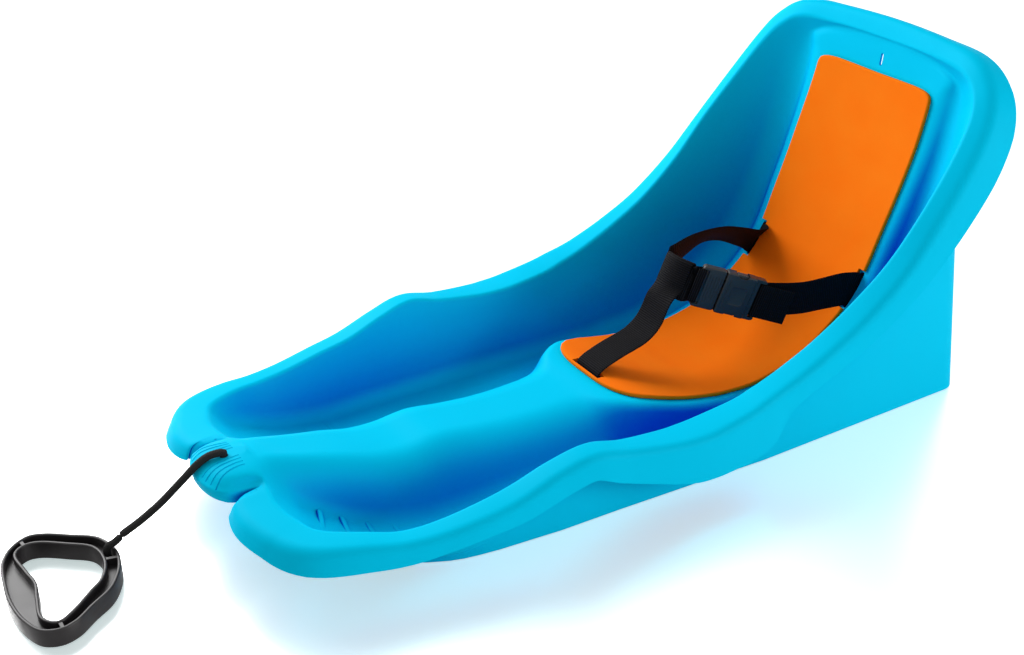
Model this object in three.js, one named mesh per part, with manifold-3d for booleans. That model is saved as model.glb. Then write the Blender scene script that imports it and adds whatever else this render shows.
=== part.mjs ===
// A toddler's pull sled: a one-piece moulded hull with two foot wells and a backrest, a foam pad,
// a three-point harness with a side-release buckle, and a braided rope with a moulded handle.
// Millimetres, +Z up, nose towards -Y, ground at z = 0, symmetrical about x = 0 but for rope and belts.
import * as THREE from "three";
import { mergeVertices } from "three/addons/utils/BufferGeometryUtils.js";
import Module from "manifold-3d";

// Hull
const hull_length = 811;
const hull_half_width = 197;
const hull_height = 358;
const hull_wall = 3;
const nose_ahead = 317; // the nose lies this far ahead of the origin, the middle of sled and handle
const ridge_round = 30; // corner between the ridge's top and its flank
const foot_round = 14; // corners along the floor of the wells
const rim_round = 4; // inner edge of the rim
const hem_round = 9; // edge between the rim and its skirt
const lip_width = 26;
const skirt_depth = 24;

// Walls under the hull that its rear stands on
const stand_half_width = 166;
const stand_length = 641;
const stand_rear = 472;
const stand_height = 300;
const stand_corner = 22;
const stand_lean_degrees = 4;

// Slots for the straps, the slit that the sled hangs by and the rope's hole
const strap_slot_length = 42;
const strap_slot_width = 5.5;
const lap_slot_share = 0.390863; // of half the hull's width, from the middle to each slot in the backrest
const lap_slot_rib = 24.1; // place along the hull, as a rib number
const crotch_slot_rib = 16.56;
const hang_slot_length = 13;
const hang_slot_width = 3.4;
const hang_slot_rib = 29.1;
const slot_cut_depth = 24;
const rope_hole_behind_nose = 27;
const rope_clearance = 0.5; // round the rope in its holes

// Low ribs across the floor of the wells
const tread_height = 1.6;
const tread_width = 5;
const tread_share = 0.85; // of the width of the well's floor
const tread_ribs = [5.9, 6.9, 7.9, 8.7, 9.6]; // places along the hull, as rib numbers

// Seat pad
const pad_thickness = 4;
const pad_margin = 10.5; // from the pad's edge to the edge of the ledge that it lies on
const pad_ribs = [16.27, 28.2]; // where it starts and ends, as rib numbers
const pad_front_rounding = 1.6; // ribs that its rounded front corners take up
const pad_top_rounding = 0.7;
const pad_squareness = 3.5; // 2 would be a round corner
const pad_clearance = 0.5; // under the pad

// Webbing, and the bars behind the slots
const strap_width = 38;
const strap_thickness = 1.6;
const strap_clearance = 0.4; // between two layers, and between a strap and what it goes round
const stop_bar_radius = 3;
const stop_bar_clearance = 1.3; // under the hull's wall
const stop_bar_length = 52;
const loop_bow = 6.5; // how far the middle of the loop lies ahead of its edges
const loop_clearance = 1.3; // between the lap belt and the loop round it
const pad_slot_margin = 1.6; // by which the pad's slots are wider all round than the hull's
const tail_length = 34;
const plug_fold_length = 6;
const plug_approach = 3.2; // from here to the plug's bar the belt is straight

// Side-release buckle, measured along its length from the plug's bar
const buckle_length = 66.5; // to the socket's bar
const buckle_width = 47;
const buckle_thickness = 12;
const buckle_wall = 2;
const buckle_corner = 4;
const buckle_bar_radius = 2;
const plug_length = 24;
const frame_thickness = 8;
const frame_window = 40; // width of the windows that the straps go through
const plug_window_end = 9.5;
const guide_width = 7;
const guide_end = 46;
const socket_body_end = 57;
const press_window = [34, 48.5];
const guide_thickness = 5;
const socket_corner = 2.5;
const socket_cavity_end = 53;
const socket_window_start = 58.5;
const cavity_clearance = 0.2;
const prong_hinge = [26.8, 15];
const prong_thickness = 7.2;
const prong_root_radius = 2.5;
const prong_outline = [
  [33.2, 17.9], [34.6, 21], [36, 23.2], [46.6, 23.2], [47.9, 21.4], [48.1, 18.4], [50.5, 16.8], [49.6, 14.8],
  [45, 13.6],
];

// Rope and handle
const rope_diameter = 7;
const rope_sides = 10;
const rope_steps = 14;
const nose_knot_size = [15, 15, 12];
const nose_knot_drop = 13.1; // from the top of the nose to the middle of the knot under it
const handle_width = 141.5;
const handle_depth = 100.5;
const handle_height = 18;
const handle_wall = 3.2;
const handle_web = 3;
const handle_hollow = 7; // depth of the hollow below the web
const handle_rib = 3;
const handle_rib_length = 34;
const handle_steps = 72;
const handle_ahead = 491.6; // the handle's front lies this far ahead of the origin
const handle_left = -77.5;
const handle_knot_size = [13, 8.05, 6];
const handle_knot_level = 3.7;

const frame_reach = 1.6; // either way from a point, to find which way the ledge faces there
const gap = 0.3; // between pieces that touch
const overrun = 2; // how far a cut runs past what it cuts

// Ribs of the hull from nose to top of backrest. Each holds five points of its right half: the middle
// of the ridge, the ridge's shoulder, the inner and outer foot of the well, and the rim's inner edge.
// x is a share of the half width, y of the length from the nose, z of the height above the wells' floor.
const rib_place_shares = [
  [[0, 0.055, 0.243], [0, 0.025, 0.24], [0, 0.014, 0.234], [0, 0.007, 0.223], [0, 0.002, 0.211]],
  [[0, 0.057, 0.243], [0.091, 0.032, 0.24], [0.132, 0.022, 0.234],
    [0.152, 0.017, 0.223], [0.168, 0.014, 0.211]],
  [[0, 0.059, 0.243], [0.094, 0.057, 0.237], [0.173, 0.053, 0.225],
    [0.183, 0.052, 0.214], [0.193, 0.051, 0.206]],
  [[0, 0.065, 0.237], [0.109, 0.065, 0.234], [0.208, 0.064, 0.2],
    [0.234, 0.059, 0.203], [0.254, 0.056, 0.207]],
  [[0, 0.075, 0.233], [0.124, 0.076, 0.231], [0.239, 0.081, 0.152],
    [0.34, 0.069, 0.166], [0.376, 0.054, 0.2]],
  [[0, 0.088, 0.224], [0.135, 0.09, 0.223], [0.249, 0.096, 0.113],
    [0.457, 0.079, 0.14], [0.497, 0.061, 0.193]],
  [[0, 0.102, 0.214], [0.145, 0.106, 0.212], [0.259, 0.115, 0.085],
    [0.558, 0.091, 0.113], [0.604, 0.076, 0.186]],
  [[0, 0.129, 0.197], [0.16, 0.132, 0.195], [0.279, 0.138, 0.056],
    [0.64, 0.121, 0.075], [0.69, 0.116, 0.176]],
  [[0, 0.16, 0.178], [0.18, 0.163, 0.175], [0.31, 0.165, 0.031],
    [0.665, 0.153, 0.039], [0.741, 0.152, 0.163]],
  [[0, 0.201, 0.15], [0.195, 0.201, 0.148], [0.35, 0.201, 0.011],
    [0.69, 0.195, 0.014], [0.766, 0.191, 0.166]],
  [[0, 0.238, 0.139], [0.205, 0.238, 0.139], [0.371, 0.238, 0],
    [0.706, 0.238, 0], [0.784, 0.238, 0.183]],
  [[0, 0.28, 0.148], [0.2, 0.28, 0.148], [0.376, 0.28, 0], [0.711, 0.28, 0], [0.787, 0.28, 0.201]],
  [[0, 0.327, 0.132], [0.195, 0.327, 0.132], [0.376, 0.327, 0],
    [0.711, 0.327, 0], [0.799, 0.327, 0.237]],
  [[0, 0.372, 0.119], [0.195, 0.372, 0.119], [0.376, 0.372, 0],
    [0.708, 0.372, 0], [0.817, 0.372, 0.258]],
  [[0, 0.418, 0.114], [0.2, 0.418, 0.114], [0.381, 0.418, 0],
    [0.706, 0.418, 0], [0.817, 0.418, 0.232]],
  [[0, 0.47, 0.118], [0.22, 0.47, 0.118], [0.391, 0.47, 0], [0.703, 0.472, 0], [0.81, 0.472, 0.214]],
  [[0, 0.501, 0.132], [0.32, 0.501, 0.132], [0.406, 0.501, 0],
    [0.701, 0.501, 0], [0.806, 0.501, 0.21]],
  [[0, 0.531, 0.127], [0.396, 0.534, 0.124], [0.457, 0.534, 0],
    [0.695, 0.531, 0], [0.805, 0.531, 0.212]],
  [[0, 0.583, 0.09], [0.429, 0.583, 0.094], [0.487, 0.583, 0],
    [0.685, 0.583, 0], [0.811, 0.581, 0.225]],
  [[0, 0.61, 0.075], [0.439, 0.61, 0.079], [0.497, 0.61, 0], [0.683, 0.61, 0], [0.815, 0.608, 0.242]],
  [[0, 0.633, 0.065], [0.447, 0.633, 0.07], [0.503, 0.633, 0],
    [0.68, 0.633, 0], [0.816, 0.628, 0.256]],
  [[0, 0.665, 0.054], [0.454, 0.662, 0.062], [0.508, 0.662, 0.003],
    [0.678, 0.662, 0.006], [0.818, 0.652, 0.277]],
  [[0, 0.721, 0.054], [0.459, 0.72, 0.062], [0.513, 0.725, 0.014],
    [0.67, 0.721, 0.023], [0.822, 0.697, 0.324]],
  [[0, 0.795, 0.099], [0.459, 0.792, 0.113], [0.523, 0.8, 0.073],
    [0.66, 0.794, 0.093], [0.824, 0.748, 0.393]],
  [[0, 0.872, 0.239], [0.464, 0.866, 0.248], [0.533, 0.88, 0.217],
    [0.65, 0.869, 0.248], [0.835, 0.803, 0.494]],
  [[0, 0.915, 0.445], [0.47, 0.908, 0.454], [0.538, 0.925, 0.434],
    [0.645, 0.917, 0.454], [0.835, 0.851, 0.617]],
  [[0, 0.947, 0.642], [0.475, 0.941, 0.651], [0.538, 0.954, 0.637],
    [0.645, 0.946, 0.654], [0.807, 0.9, 0.745]],
  [[0, 0.962, 0.758], [0.47, 0.957, 0.769], [0.538, 0.967, 0.758],
    [0.64, 0.959, 0.772], [0.769, 0.932, 0.838]],
  [[0, 0.969, 0.828], [0.467, 0.964, 0.842], [0.538, 0.972, 0.834],
    [0.609, 0.967, 0.845], [0.706, 0.949, 0.897]],
  [[0, 0.972, 0.873], [0.482, 0.968, 0.89], [0.513, 0.972, 0.893],
    [0.548, 0.969, 0.901], [0.589, 0.96, 0.936]],
  [[0, 0.974, 0.91], [0.305, 0.973, 0.918], [0.325, 0.973, 0.927],
    [0.34, 0.972, 0.934], [0.355, 0.969, 0.942]],
  [[0, 0.975, 0.927], [0, 0.975, 0.932], [0, 0.975, 0.937], [0, 0.974, 0.941], [0, 0.974, 0.945]],
];

// For each rib, shares of ridge_round, of lip_width and of skirt_depth
const rib_form_shares = [
  [1, 0.15, 0.33], [1, 0.15, 0.38], [1, 0.19, 0.5], [1, 1.17, 0.643], [1, 1.28, 0.733],
  [1, 1.23, 0.773], [1, 1.16, 0.96], [1, 1, 0.92], [1, 0.88, 0.83], [1, 0.92, 0.75], [1, 1, 0.75],
  [1, 1.04, 0.92], [1, 0.98, 1], [1, 0.94, 1], [1, 1, 1.29], [0.87, 1.27, 1.67], [0.4, 1.38, 1.92],
  [0.3, 1.42, 2.02], [0.27, 1.31, 2.21], [0.27, 1.21, 1.92], [0.27, 1.15, 1.25], [0.27, 1.12, 1],
  [0.27, 1.06, 1.04], [0.27, 1.06, 1.13], [0.27, 0.98, 1.25], [0.27, 0.87, 1.42], [0.27, 0.85, 1.5],
  [0.27, 0.81, 1.38], [0.27, 0.77, 1.13], [0.27, 0.73, 0.83], [0.27, 0.77, 0.54], [0.27, 0.77, 0.46],
];
// For each rib, degrees: how far the rim drops outwards, the skirt flares, and both lean back
const rib_angles = [
  [40, -10, 0], [40, -5, 0], [20, 20, 0], [0, 22, 0], [0, 27, 0], [0, 28, 0], [0, 22, 0], [0, 14, 0],
  [0, 7, 0], [2, 4, 0], [5, 3, 0], [3, 3, 0], [3, 3, 0], [3, 3, 0], [0, 4, 0], [0, 3, 0],
  [0, 2, 0], [0, 2, 0], [-4, 3, 5], [-4, 3, 8], [-3, 3, 10], [0, 4, 13], [3, 4, 20], [10, 5, 28],
  [14, 6, 40], [20, 10, 50], [18, 13, 58], [18, 14, 64], [15, 12, 68], [10, 8, 70], [5, 5, 70], [3, 5, 70],
];
const last_rib = rib_place_shares.length - 1;
const plain_ribs = [9, 14]; // between these ribs the hull runs straight and needs no rib in between

// Outline of the handle and of its hole, shares of its width and depth
const handle_outline_shares = [
  [0.19, 0.09], [0.42, 0.02], [0.61, 0], [0.8, 0.03], [0.95, 0.12], [1, 0.26], [0.98, 0.41], [0.89, 0.59],
  [0.8, 0.78], [0.7, 0.89], [0.58, 0.97], [0.44, 1], [0.25, 0.92], [0.13, 0.72], [0.03, 0.53], [0, 0.39],
  [0.06, 0.22],
];
const handle_hole_shares = [
  [0.15, 0.24], [0.34, 0.25], [0.5, 0.275], [0.65, 0.23], [0.84, 0.195], [0.91, 0.28], [0.87, 0.4],
  [0.74, 0.62], [0.66, 0.75], [0.5, 0.845], [0.34, 0.82], [0.22, 0.64], [0.11, 0.43], [0.1, 0.33],
];
// Ribs across the handle's channel: place as shares, and the direction that each runs in, in degrees
const handle_rib_shares = [[0.05, 0.32, 10], [0.5, 0.92, 75], [0.96, 0.29, 0]];

// Places along the straps, shares as for the hull's ribs, with the way that the webbing's width points
const left_belt_shares = [
  [-0.355, 0.861, 0.279], [-0.318, 0.834, 0.307], [-0.281, 0.798, 0.346], [-0.237, 0.756, 0.377],
  [-0.193, 0.715, 0.383], [-0.152, 0.678, 0.375],
];
const left_belt_across = [
  [0.42, 0.51, 0.75], [0.64, 0.49, 0.59], [0.71, 0.41, 0.57], [0.66, 0.29, 0.7],
  [0.48, 0.12, 0.87], [0.2, 0.25, 0.94],
];
const right_belt_shares = [
  [0.294, 0.756, 0.286], [0.335, 0.793, 0.276], [0.365, 0.827, 0.278], [0.386, 0.853, 0.279],
];
const right_belt_across = [[0.13, 0.28, 0.95], [0.1, 0.32, 0.94], [0.07, 0.4, 0.9], [0.02, 0.52, 0.85]];
const crotch_strap_shares = [
  [0, 0.524, 0.158], [0, 0.536, 0.169], [0, 0.556, 0.183], [0, 0.573, 0.192], [0, 0.589, 0.203],
  [0, 0.602, 0.221], [0, 0.612, 0.246], [0, 0.625, 0.303],
];
const loop_share = [-0.01, 0.643, 0.358]; // middle of the crotch strap's loop round the lap belt
const loop_across = [0, 0.42, 0.91];
const loop_yaw = 5; // degrees
const buckle_share = [0.119, 0.6628, 0.35];
const buckle_yaw = 61.8; // degrees
const buckle_pitch = -17.5;

// The rope's route from the nose to the handle, and on into the handle's channel
const nose_pivot = [0, -290, 91.8];
const rope_route = [
  [-0.3, -293.8, 92], [-1, -298, 92.1], [-2, -303, 91.1], [-3.2, -309, 88.1], [-4.6, -315.5, 83.2],
  [-6.4, -324, 75], [-11, -348, 53.1], [-14, -368, 39.2], [-16.6, -383.5, 30.1],
];
const handle_pivot = [-17.2, -386.2, 27.6];
const rope_end_route = [
  [-17.2, -386.2, 27.6], [-17.9, -390.3, 24.1], [-18.3, -393.4, 22.5], [-18.7, -396.6, 21.4],
  [-19, -398.9, 18.4], [-19, -399.1, 14], [-19, -399.1, 6],
];

// The stand's plan from its open front to the rear corner: shares of half width and of length
const stand_shares = [
  [0.741, 0], [0.78, 0.018], [0.826, 0.043], [0.851, 0.063], [0.868, 0.085], [0.886, 0.115],
  [0.909, 0.178], [0.922, 0.212], [0.937, 0.312], [0.952, 0.381], [0.967, 0.452], [0.994, 0.573],
];

const lap_slot_across = lap_slot_share * hull_half_width;
const radian = Math.PI / 180;
const point = (x, y, z) => new THREE.Vector3(x, y, z);
const black_plastic = new THREE.MeshStandardMaterial({ color: 0x101113, roughness: 0.35, metalness: 0 });
const hull_plastic = new THREE.MeshStandardMaterial({ color: 0x00a9de, roughness: 0.38, metalness: 0 });
const orange_foam = new THREE.MeshStandardMaterial({ color: 0xf26a12, roughness: 0.85, metalness: 0 });
const black_webbing = new THREE.MeshStandardMaterial({ color: 0x121212, roughness: 0.8, metalness: 0 });
const black_rope = new THREE.MeshStandardMaterial({ color: 0x0e0e0e, roughness: 0.9, metalness: 0 });

const wasm = await Module();
wasm.setup();

// Closed solids

function solid_of(geometry) {
  const plain = geometry.clone();
  plain.deleteAttribute("normal");
  plain.deleteAttribute("uv");
  const merged = mergeVertices(plain);
  const vertProperties = Float32Array.from(merged.attributes.position.array);
  const triVerts = Uint32Array.from(merged.index.array);
  return new wasm.Manifold(new wasm.Mesh({ numProp: 3, vertProperties, triVerts }));
}

function geometry_of(solid) {
  const mesh = solid.getMesh();
  const geometry = new THREE.BufferGeometry();
  geometry.setAttribute("position", new THREE.BufferAttribute(mesh.vertProperties, 3));
  geometry.setIndex(new THREE.BufferAttribute(mesh.triVerts, 1));
  geometry.computeVertexNormals();
  return geometry;
}

function indexed(vertices, triangles) {
  const geometry = new THREE.BufferGeometry();
  const numbers = vertices.flatMap((v) => v.toArray());
  geometry.setAttribute("position", new THREE.Float32BufferAttribute(numbers, 3));
  geometry.setIndex(triangles.flat());
  return geometry;
}

// A tube of equal closed rings, each counterclockwise as seen from the last ring, with flat ends
function loft(rings) {
  const count = rings[0].length;
  const triangles = [];
  for (let i = 0; i + 1 < rings.length; i++) {
    for (let j = 0; j < count; j++) {
      const a = i * count + j;
      const b = i * count + ((j + 1) % count);
      triangles.push([a, b, b + count], [a, b + count, a + count]);
    }
  }
  const top = (rings.length - 1) * count;
  for (let j = 1; j + 1 < count; j++) {
    triangles.push([0, j + 1, j], [top, top + j, top + j + 1]);
  }
  return indexed(rings.flat(), triangles);
}

function box(x, y, z) {
  return new THREE.BoxGeometry(x, y, z);
}

function rod(radius, length, sides = 16) {
  return new THREE.CylinderGeometry(radius, radius, length, sides);
}

// Hull

function place([x, y, z]) {
  const rise = hull_height - hull_wall;
  return point(x * hull_half_width, y * hull_length - nose_ahead, hull_wall + z * rise);
}

const rails = [0, 1, 2, 3, 4].map((n) => rib_place_shares.map((rib) => place(rib[n])));

// Smooth curve through the ribs' points at rib number k. Past either end it goes on as its mirror image.
function along(rail, k, blend) {
  const rib = Math.min(Math.floor(k), last_rib - 1);
  const weights = blend(k - rib);
  const sum = point(0, 0, 0);
  weights.forEach((weight, n) => {
    const wanted = rib - 1 + n;
    const used = wanted < 0 ? -wanted : wanted > last_rib ? 2 * last_rib - wanted : wanted;
    const flip = used === wanted ? 1 : -1;
    sum.add(point(rail[used].x * flip, rail[used].y, rail[used].z).multiplyScalar(weight));
  });
  return sum;
}

function through(s) {
  const cube = s ** 3;
  const square = s ** 2;
  return [-cube + 2 * square - s, 3 * cube - 5 * square + 2, -3 * cube + 4 * square + s, cube - square]
    .map((w) => w / 2);
}

function slope(s) {
  const square = s ** 2;
  return [-3 * square + 4 * s - 1, 9 * square - 10 * s, -9 * square + 8 * s + 1, 3 * square - 2 * s]
    .map((w) => w / 2);
}

function between(table, column, k) {
  const rib = Math.min(Math.floor(k), last_rib - 1);
  return THREE.MathUtils.lerp(table[rib][column], table[rib + 1][column], k - rib);
}

// The seven corners of half a rib: the five of the table, the rim's outer edge and the skirt's hem
function rib_corners(k) {
  const corners = rails.map((rail) => along(rail, k, through));
  corners.forEach((corner) => { corner.z = Math.max(corner.z, hull_wall); });
  const run = along(rails[4], k, slope).normalize();
  const lean = between(rib_angles, 2, k) * radian;
  const out = run.clone().cross(point(0, -Math.sin(lean), Math.cos(lean))).normalize();
  const up = out.clone().cross(run).normalize();
  const drop = between(rib_angles, 0, k) * radian;
  const lip = between(rib_form_shares, 1, k) * lip_width;
  const flare = between(rib_angles, 1, k) * radian;
  const skirt = between(rib_form_shares, 2, k) * skirt_depth;
  const edge = corners[4].clone()
    .addScaledVector(out, lip * Math.cos(drop))
    .addScaledVector(up, -lip * Math.sin(drop));
  const hem = edge.clone()
    .addScaledVector(up, -skirt * Math.cos(flare))
    .addScaledVector(out, skirt * Math.sin(flare));
  return [...corners, edge, hem];
}

// Half a rib's outline from its middle to the hem, each corner rounded in its own number of points
const corner_points = [3, 2, 2, 2, 3];
const hollow_share = 0.25; // of the ledge's rise to its shoulder, reached halfway across
function rib_outline(k) {
  const corners = rib_corners(k);
  const rounds = [ridge_round * between(rib_form_shares, 0, k), foot_round, foot_round, rim_round, hem_round];
  const outline = [corners[0]];
  rounds.forEach((round, n) => {
    const [before, corner, after] = corners.slice(n, n + 3);
    const start = corner.clone().lerp(before, Math.min(round / corner.distanceTo(before), 0.5));
    const end = corner.clone().lerp(after, Math.min(round / corner.distanceTo(after), 0.5));
    if (n === 0) {
      const middle = corners[0].clone().lerp(start, 0.5);
      middle.y = THREE.MathUtils.lerp(corners[0].y, start.y, hollow_share);
      middle.z = THREE.MathUtils.lerp(corners[0].z, start.z, hollow_share);
      outline.push(middle);
    }
    for (let i = 0; i < corner_points[n]; i++) {
      const t = i / (corner_points[n] - 1);
      const first = start.clone().lerp(corner, t);
      outline.push(first.lerp(corner.clone().lerp(end, t), t));
    }
  });
  outline.push(corners[6]);
  return outline;
}

function hull_stations() {
  const stations = [];
  for (let rib = 0; rib < last_rib; rib++) {
    stations.push(rib);
    if (rib < plain_ribs[0] || rib >= plain_ribs[1]) {
      stations.push(rib + 0.5);
    }
  }
  return [...stations, last_rib];
}

const stations = hull_stations();
const outlines = stations.map(rib_outline);
const across = outlines[0].length;

// The visible skin of both halves. Points in the middle plane belong to both.
function hull_skin() {
  const vertices = [];
  const number = { 1: [], [-1]: [] };
  outlines.forEach((outline, i) => {
    for (const side of [1, -1]) {
      number[side][i] = outline.map((p, j) => {
        const shared = side === -1 && (j === 0 || i === 0 || i === outlines.length - 1);
        if (shared) {
          return number[1][i][j];
        }
        return vertices.push(point(p.x * side, p.y, p.z)) - 1;
      });
    }
  });
  const triangles = [];
  for (const side of [1, -1]) {
    for (let i = 0; i + 1 < outlines.length; i++) {
      for (let j = 0; j + 1 < across; j++) {
        const [a, b] = [number[side][i][j], number[side][i][j + 1]];
        const [c, d] = [number[side][i + 1][j + 1], number[side][i + 1][j]];
        const pair = [[a, b, c], [a, c, d]];
        triangles.push(...pair.map((t) => (side === 1 ? t : [t[0], t[2], t[1]])));
      }
    }
  }
  const right = number[1].map((row) => row[across - 1]);
  const left = number[-1].map((row) => row[across - 1]);
  const hem = [...right, ...left.slice(1, -1).reverse()];
  return { vertices, triangles, hem };
}

function sunk(skin, depth) {
  const geometry = indexed(skin.vertices, skin.triangles);
  geometry.computeVertexNormals();
  const normals = geometry.attributes.normal;
  return skin.vertices.map((vertex, n) => {
    const moved = vertex.clone().addScaledVector(point().fromBufferAttribute(normals, n), -depth);
    moved.z = Math.max(moved.z, hull_wall - depth);
    return moved;
  });
}

// Two copies of the skin, the upper facing up and the lower facing down, joined along a wall of quads
function closed_between(skin, upper, lower) {
  const count = upper.length;
  const under = skin.triangles.map(([a, b, c]) => [a + count, c + count, b + count]);
  const triangles = [...skin.triangles, ...under];
  skin.hem.forEach((a, n) => {
    const b = skin.hem[(n + 1) % skin.hem.length];
    triangles.push([b, a, a + count], [b, a + count, b + count]);
  });
  return indexed([...upper, ...lower], triangles);
}

// Everything above the middle of the wall, to trim what stands under the hull
function space_above(skin) {
  const lower = sunk(skin, hull_wall / 2);
  const count = lower.length;
  const lid = skin.hem.map((n) => point(lower[n].x, lower[n].y, hull_height + stand_height));
  const vertices = [...lower, ...lid];
  const triangles = [...skin.triangles.map(([a, b, c]) => [a, c, b])];
  const ring = skin.hem.length;
  skin.hem.forEach((a, n) => {
    const next = (n + 1) % ring;
    triangles.push([a, skin.hem[next], count + next], [a, count + next, count + n]);
  });
  for (let n = 0; n < ring / 2; n++) {
    const [a, b] = [count + n, count + n + 1];
    const [d, c] = [count + ((ring - n) % ring), count + ring - n - 1];
    if (b !== c) {
      triangles.push([a, b, c]);
    }
    if (a !== d) {
      triangles.push([a, c, d]);
    }
  }
  return indexed(vertices, triangles);
}

// The stand's plan, right half then left, at a height above the ground and a depth into its wall
function stand_plan(height, inset) {
  const lean = Math.tan(stand_lean_degrees * radian) * height + inset;
  const front = stand_rear - stand_length;
  const half = stand_shares.map(([x, y]) => [x * stand_half_width - lean, front + y * stand_length]);
  for (let i = 0; i <= 4; i++) {
    const turn = (i / 4) * Math.PI / 2;
    const reach = stand_corner - inset;
    half.push([
      stand_half_width - lean - reach + reach * Math.cos(turn),
      stand_rear - lean - reach + reach * Math.sin(turn),
    ]);
  }
  return [...half, ...half.map(([x, y]) => [-x, y]).reverse()];
}

function stand() {
  const ring = (height) => {
    const outer = stand_plan(height, 0);
    const inner = stand_plan(height, hull_wall).reverse();
    return [...outer, ...inner].map(([x, y]) => point(x, y, height));
  };
  const [low, high] = [ring(0), ring(stand_height)];
  const count = low.length;
  const flat = low.map((p) => new THREE.Vector2(p.x, p.y));
  const faces = THREE.ShapeUtils.triangulateShape(flat, []);
  const triangles = faces.flatMap(([a, b, c]) => [[c, b, a], [a + count, b + count, c + count]]);
  low.forEach((_, a) => {
    const b = (a + 1) % count;
    triangles.push([a, b, b + count], [a, b + count, a + count]);
  });
  return indexed([...low, ...high], triangles);
}



// A point on the hull's flat-sided skin near its middle, at rib number k and x from the middle plane
function on_skin(k, x) {
  const next = Math.min(Math.max(stations.findIndex((s) => s > k), 1), stations.length - 1);
  const share = (k - stations[next - 1]) / (stations[next] - stations[next - 1]);
  const [near, far] = [outlines[next - 1], outlines[next]].map((outline) => {
    const j = Math.max(outline.findIndex((p) => p.x > Math.abs(x)), 1);
    const [a, b] = [outline[j - 1], outline[j]];
    return a.clone().lerp(b, (Math.abs(x) - a.x) / (b.x - a.x));
  });
  const found = near.lerp(far, share);
  return point(x, found.y, found.z);
}

// Place, direction along the hull and direction out of it, at rib number k and x from the middle plane
function seat_frame(k, x) {
  const step = 0.25;
  const at = on_skin(k, x);
  const run = on_skin(k + step, x).sub(on_skin(k - step, x)).normalize();
  const across_seat = on_skin(k, x + frame_reach).sub(on_skin(k, x - frame_reach)).normalize();
  return { at, run, out: across_seat.cross(run).normalize() };
}

function turned_box(size, at, tilt) {
  const geometry = box(...size);
  geometry.rotateX(tilt);
  geometry.translate(at.x, at.y, at.z);
  return solid_of(geometry);
}

// A box cut through the hull and the pad, its length across the sled or along it
function slot(k, x, width, length) {
  const { at, run } = seat_frame(k, x);
  return turned_box([width, length, slot_cut_depth], at, Math.atan2(run.z, run.y));
}

// The three slots for the webbing, wider all round by the margin
function strap_slots(margin) {
  const [narrow, wide] = [strap_slot_width, strap_slot_length].map((size) => size + 2 * margin);
  return [
    slot(crotch_slot_rib, 0, wide, narrow),
    slot(lap_slot_rib, -lap_slot_across, narrow, wide),
    slot(lap_slot_rib, lap_slot_across, narrow, wide),
  ];
}

function rope_hole(radius) {
  const hole = rod(radius, slot_cut_depth);
  hole.rotateX(Math.PI / 2);
  hole.translate(0, rope_hole_behind_nose - nose_ahead, nose_pivot[2]);
  return solid_of(hole);
}

// Ribs across the floor of one well, from under its surface to tread_height above it
function treads(side) {
  return tread_ribs.map((k) => {
    const [inner, outer] = [along(rails[2], k, through), along(rails[3], k, through)];
    const middle = inner.clone().lerp(outer, 0.5);
    const run = along(rails[2], k, slope);
    const length = inner.distanceTo(outer) * tread_share;
    const geometry = box(length, tread_width, tread_height + hull_wall / 2);
    geometry.translate(0, 0, tread_height / 2 - hull_wall / 4);
    geometry.rotateX(Math.atan2(run.z, run.y));
    geometry.rotateZ(Math.atan2(outer.y - inner.y, outer.x - inner.x) * side);
    geometry.translate(middle.x * side, middle.y, middle.z);
    return solid_of(geometry);
  });
}

function hull() {
  const skin = hull_skin();
  const shell = solid_of(closed_between(skin, skin.vertices, sunk(skin, hull_wall)));
  const wall = solid_of(stand()).subtract(solid_of(space_above(skin)));
  const whole = [...treads(1), ...treads(-1)].reduce((sum, tread) => sum.add(tread), shell.add(wall));
  const cuts = [
    ...strap_slots(0),
    slot(hang_slot_rib, 0, hang_slot_width, hang_slot_length),
    rope_hole(rope_diameter / 2 + rope_clearance),
  ];
  return geometry_of(cuts.reduce((left, cut) => left.subtract(cut), whole));
}

// Seat pad, which follows the ledge with a constant thickness

function pad_rows() {
  const [start, end] = pad_ribs;
  const turns = [4, 14, 28, 45, 62, 78, 90].map((degrees) => degrees * radian);
  const inset = turns.map((turn) => 1 - Math.cos(turn) ** (2 / pad_squareness));
  const rows = [
    ...inset.map((t) => start + pad_front_rounding * t),
    ...stations.filter((k) => k > start && k < end),
    ...inset.map((t) => end - pad_top_rounding * t),
  ];
  const least = start + pad_front_rounding * inset[0];
  const most = end - pad_top_rounding * inset[0];
  return rows.filter((k) => k >= least && k <= most).sort((a, b) => a - b).map((k) => {
    const depth = Math.min((k - start) / pad_front_rounding, (end - k) / pad_top_rounding, 1);
    return { k, share: (1 - (1 - depth) ** pad_squareness) ** (1 / pad_squareness) };
  });
}

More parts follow.
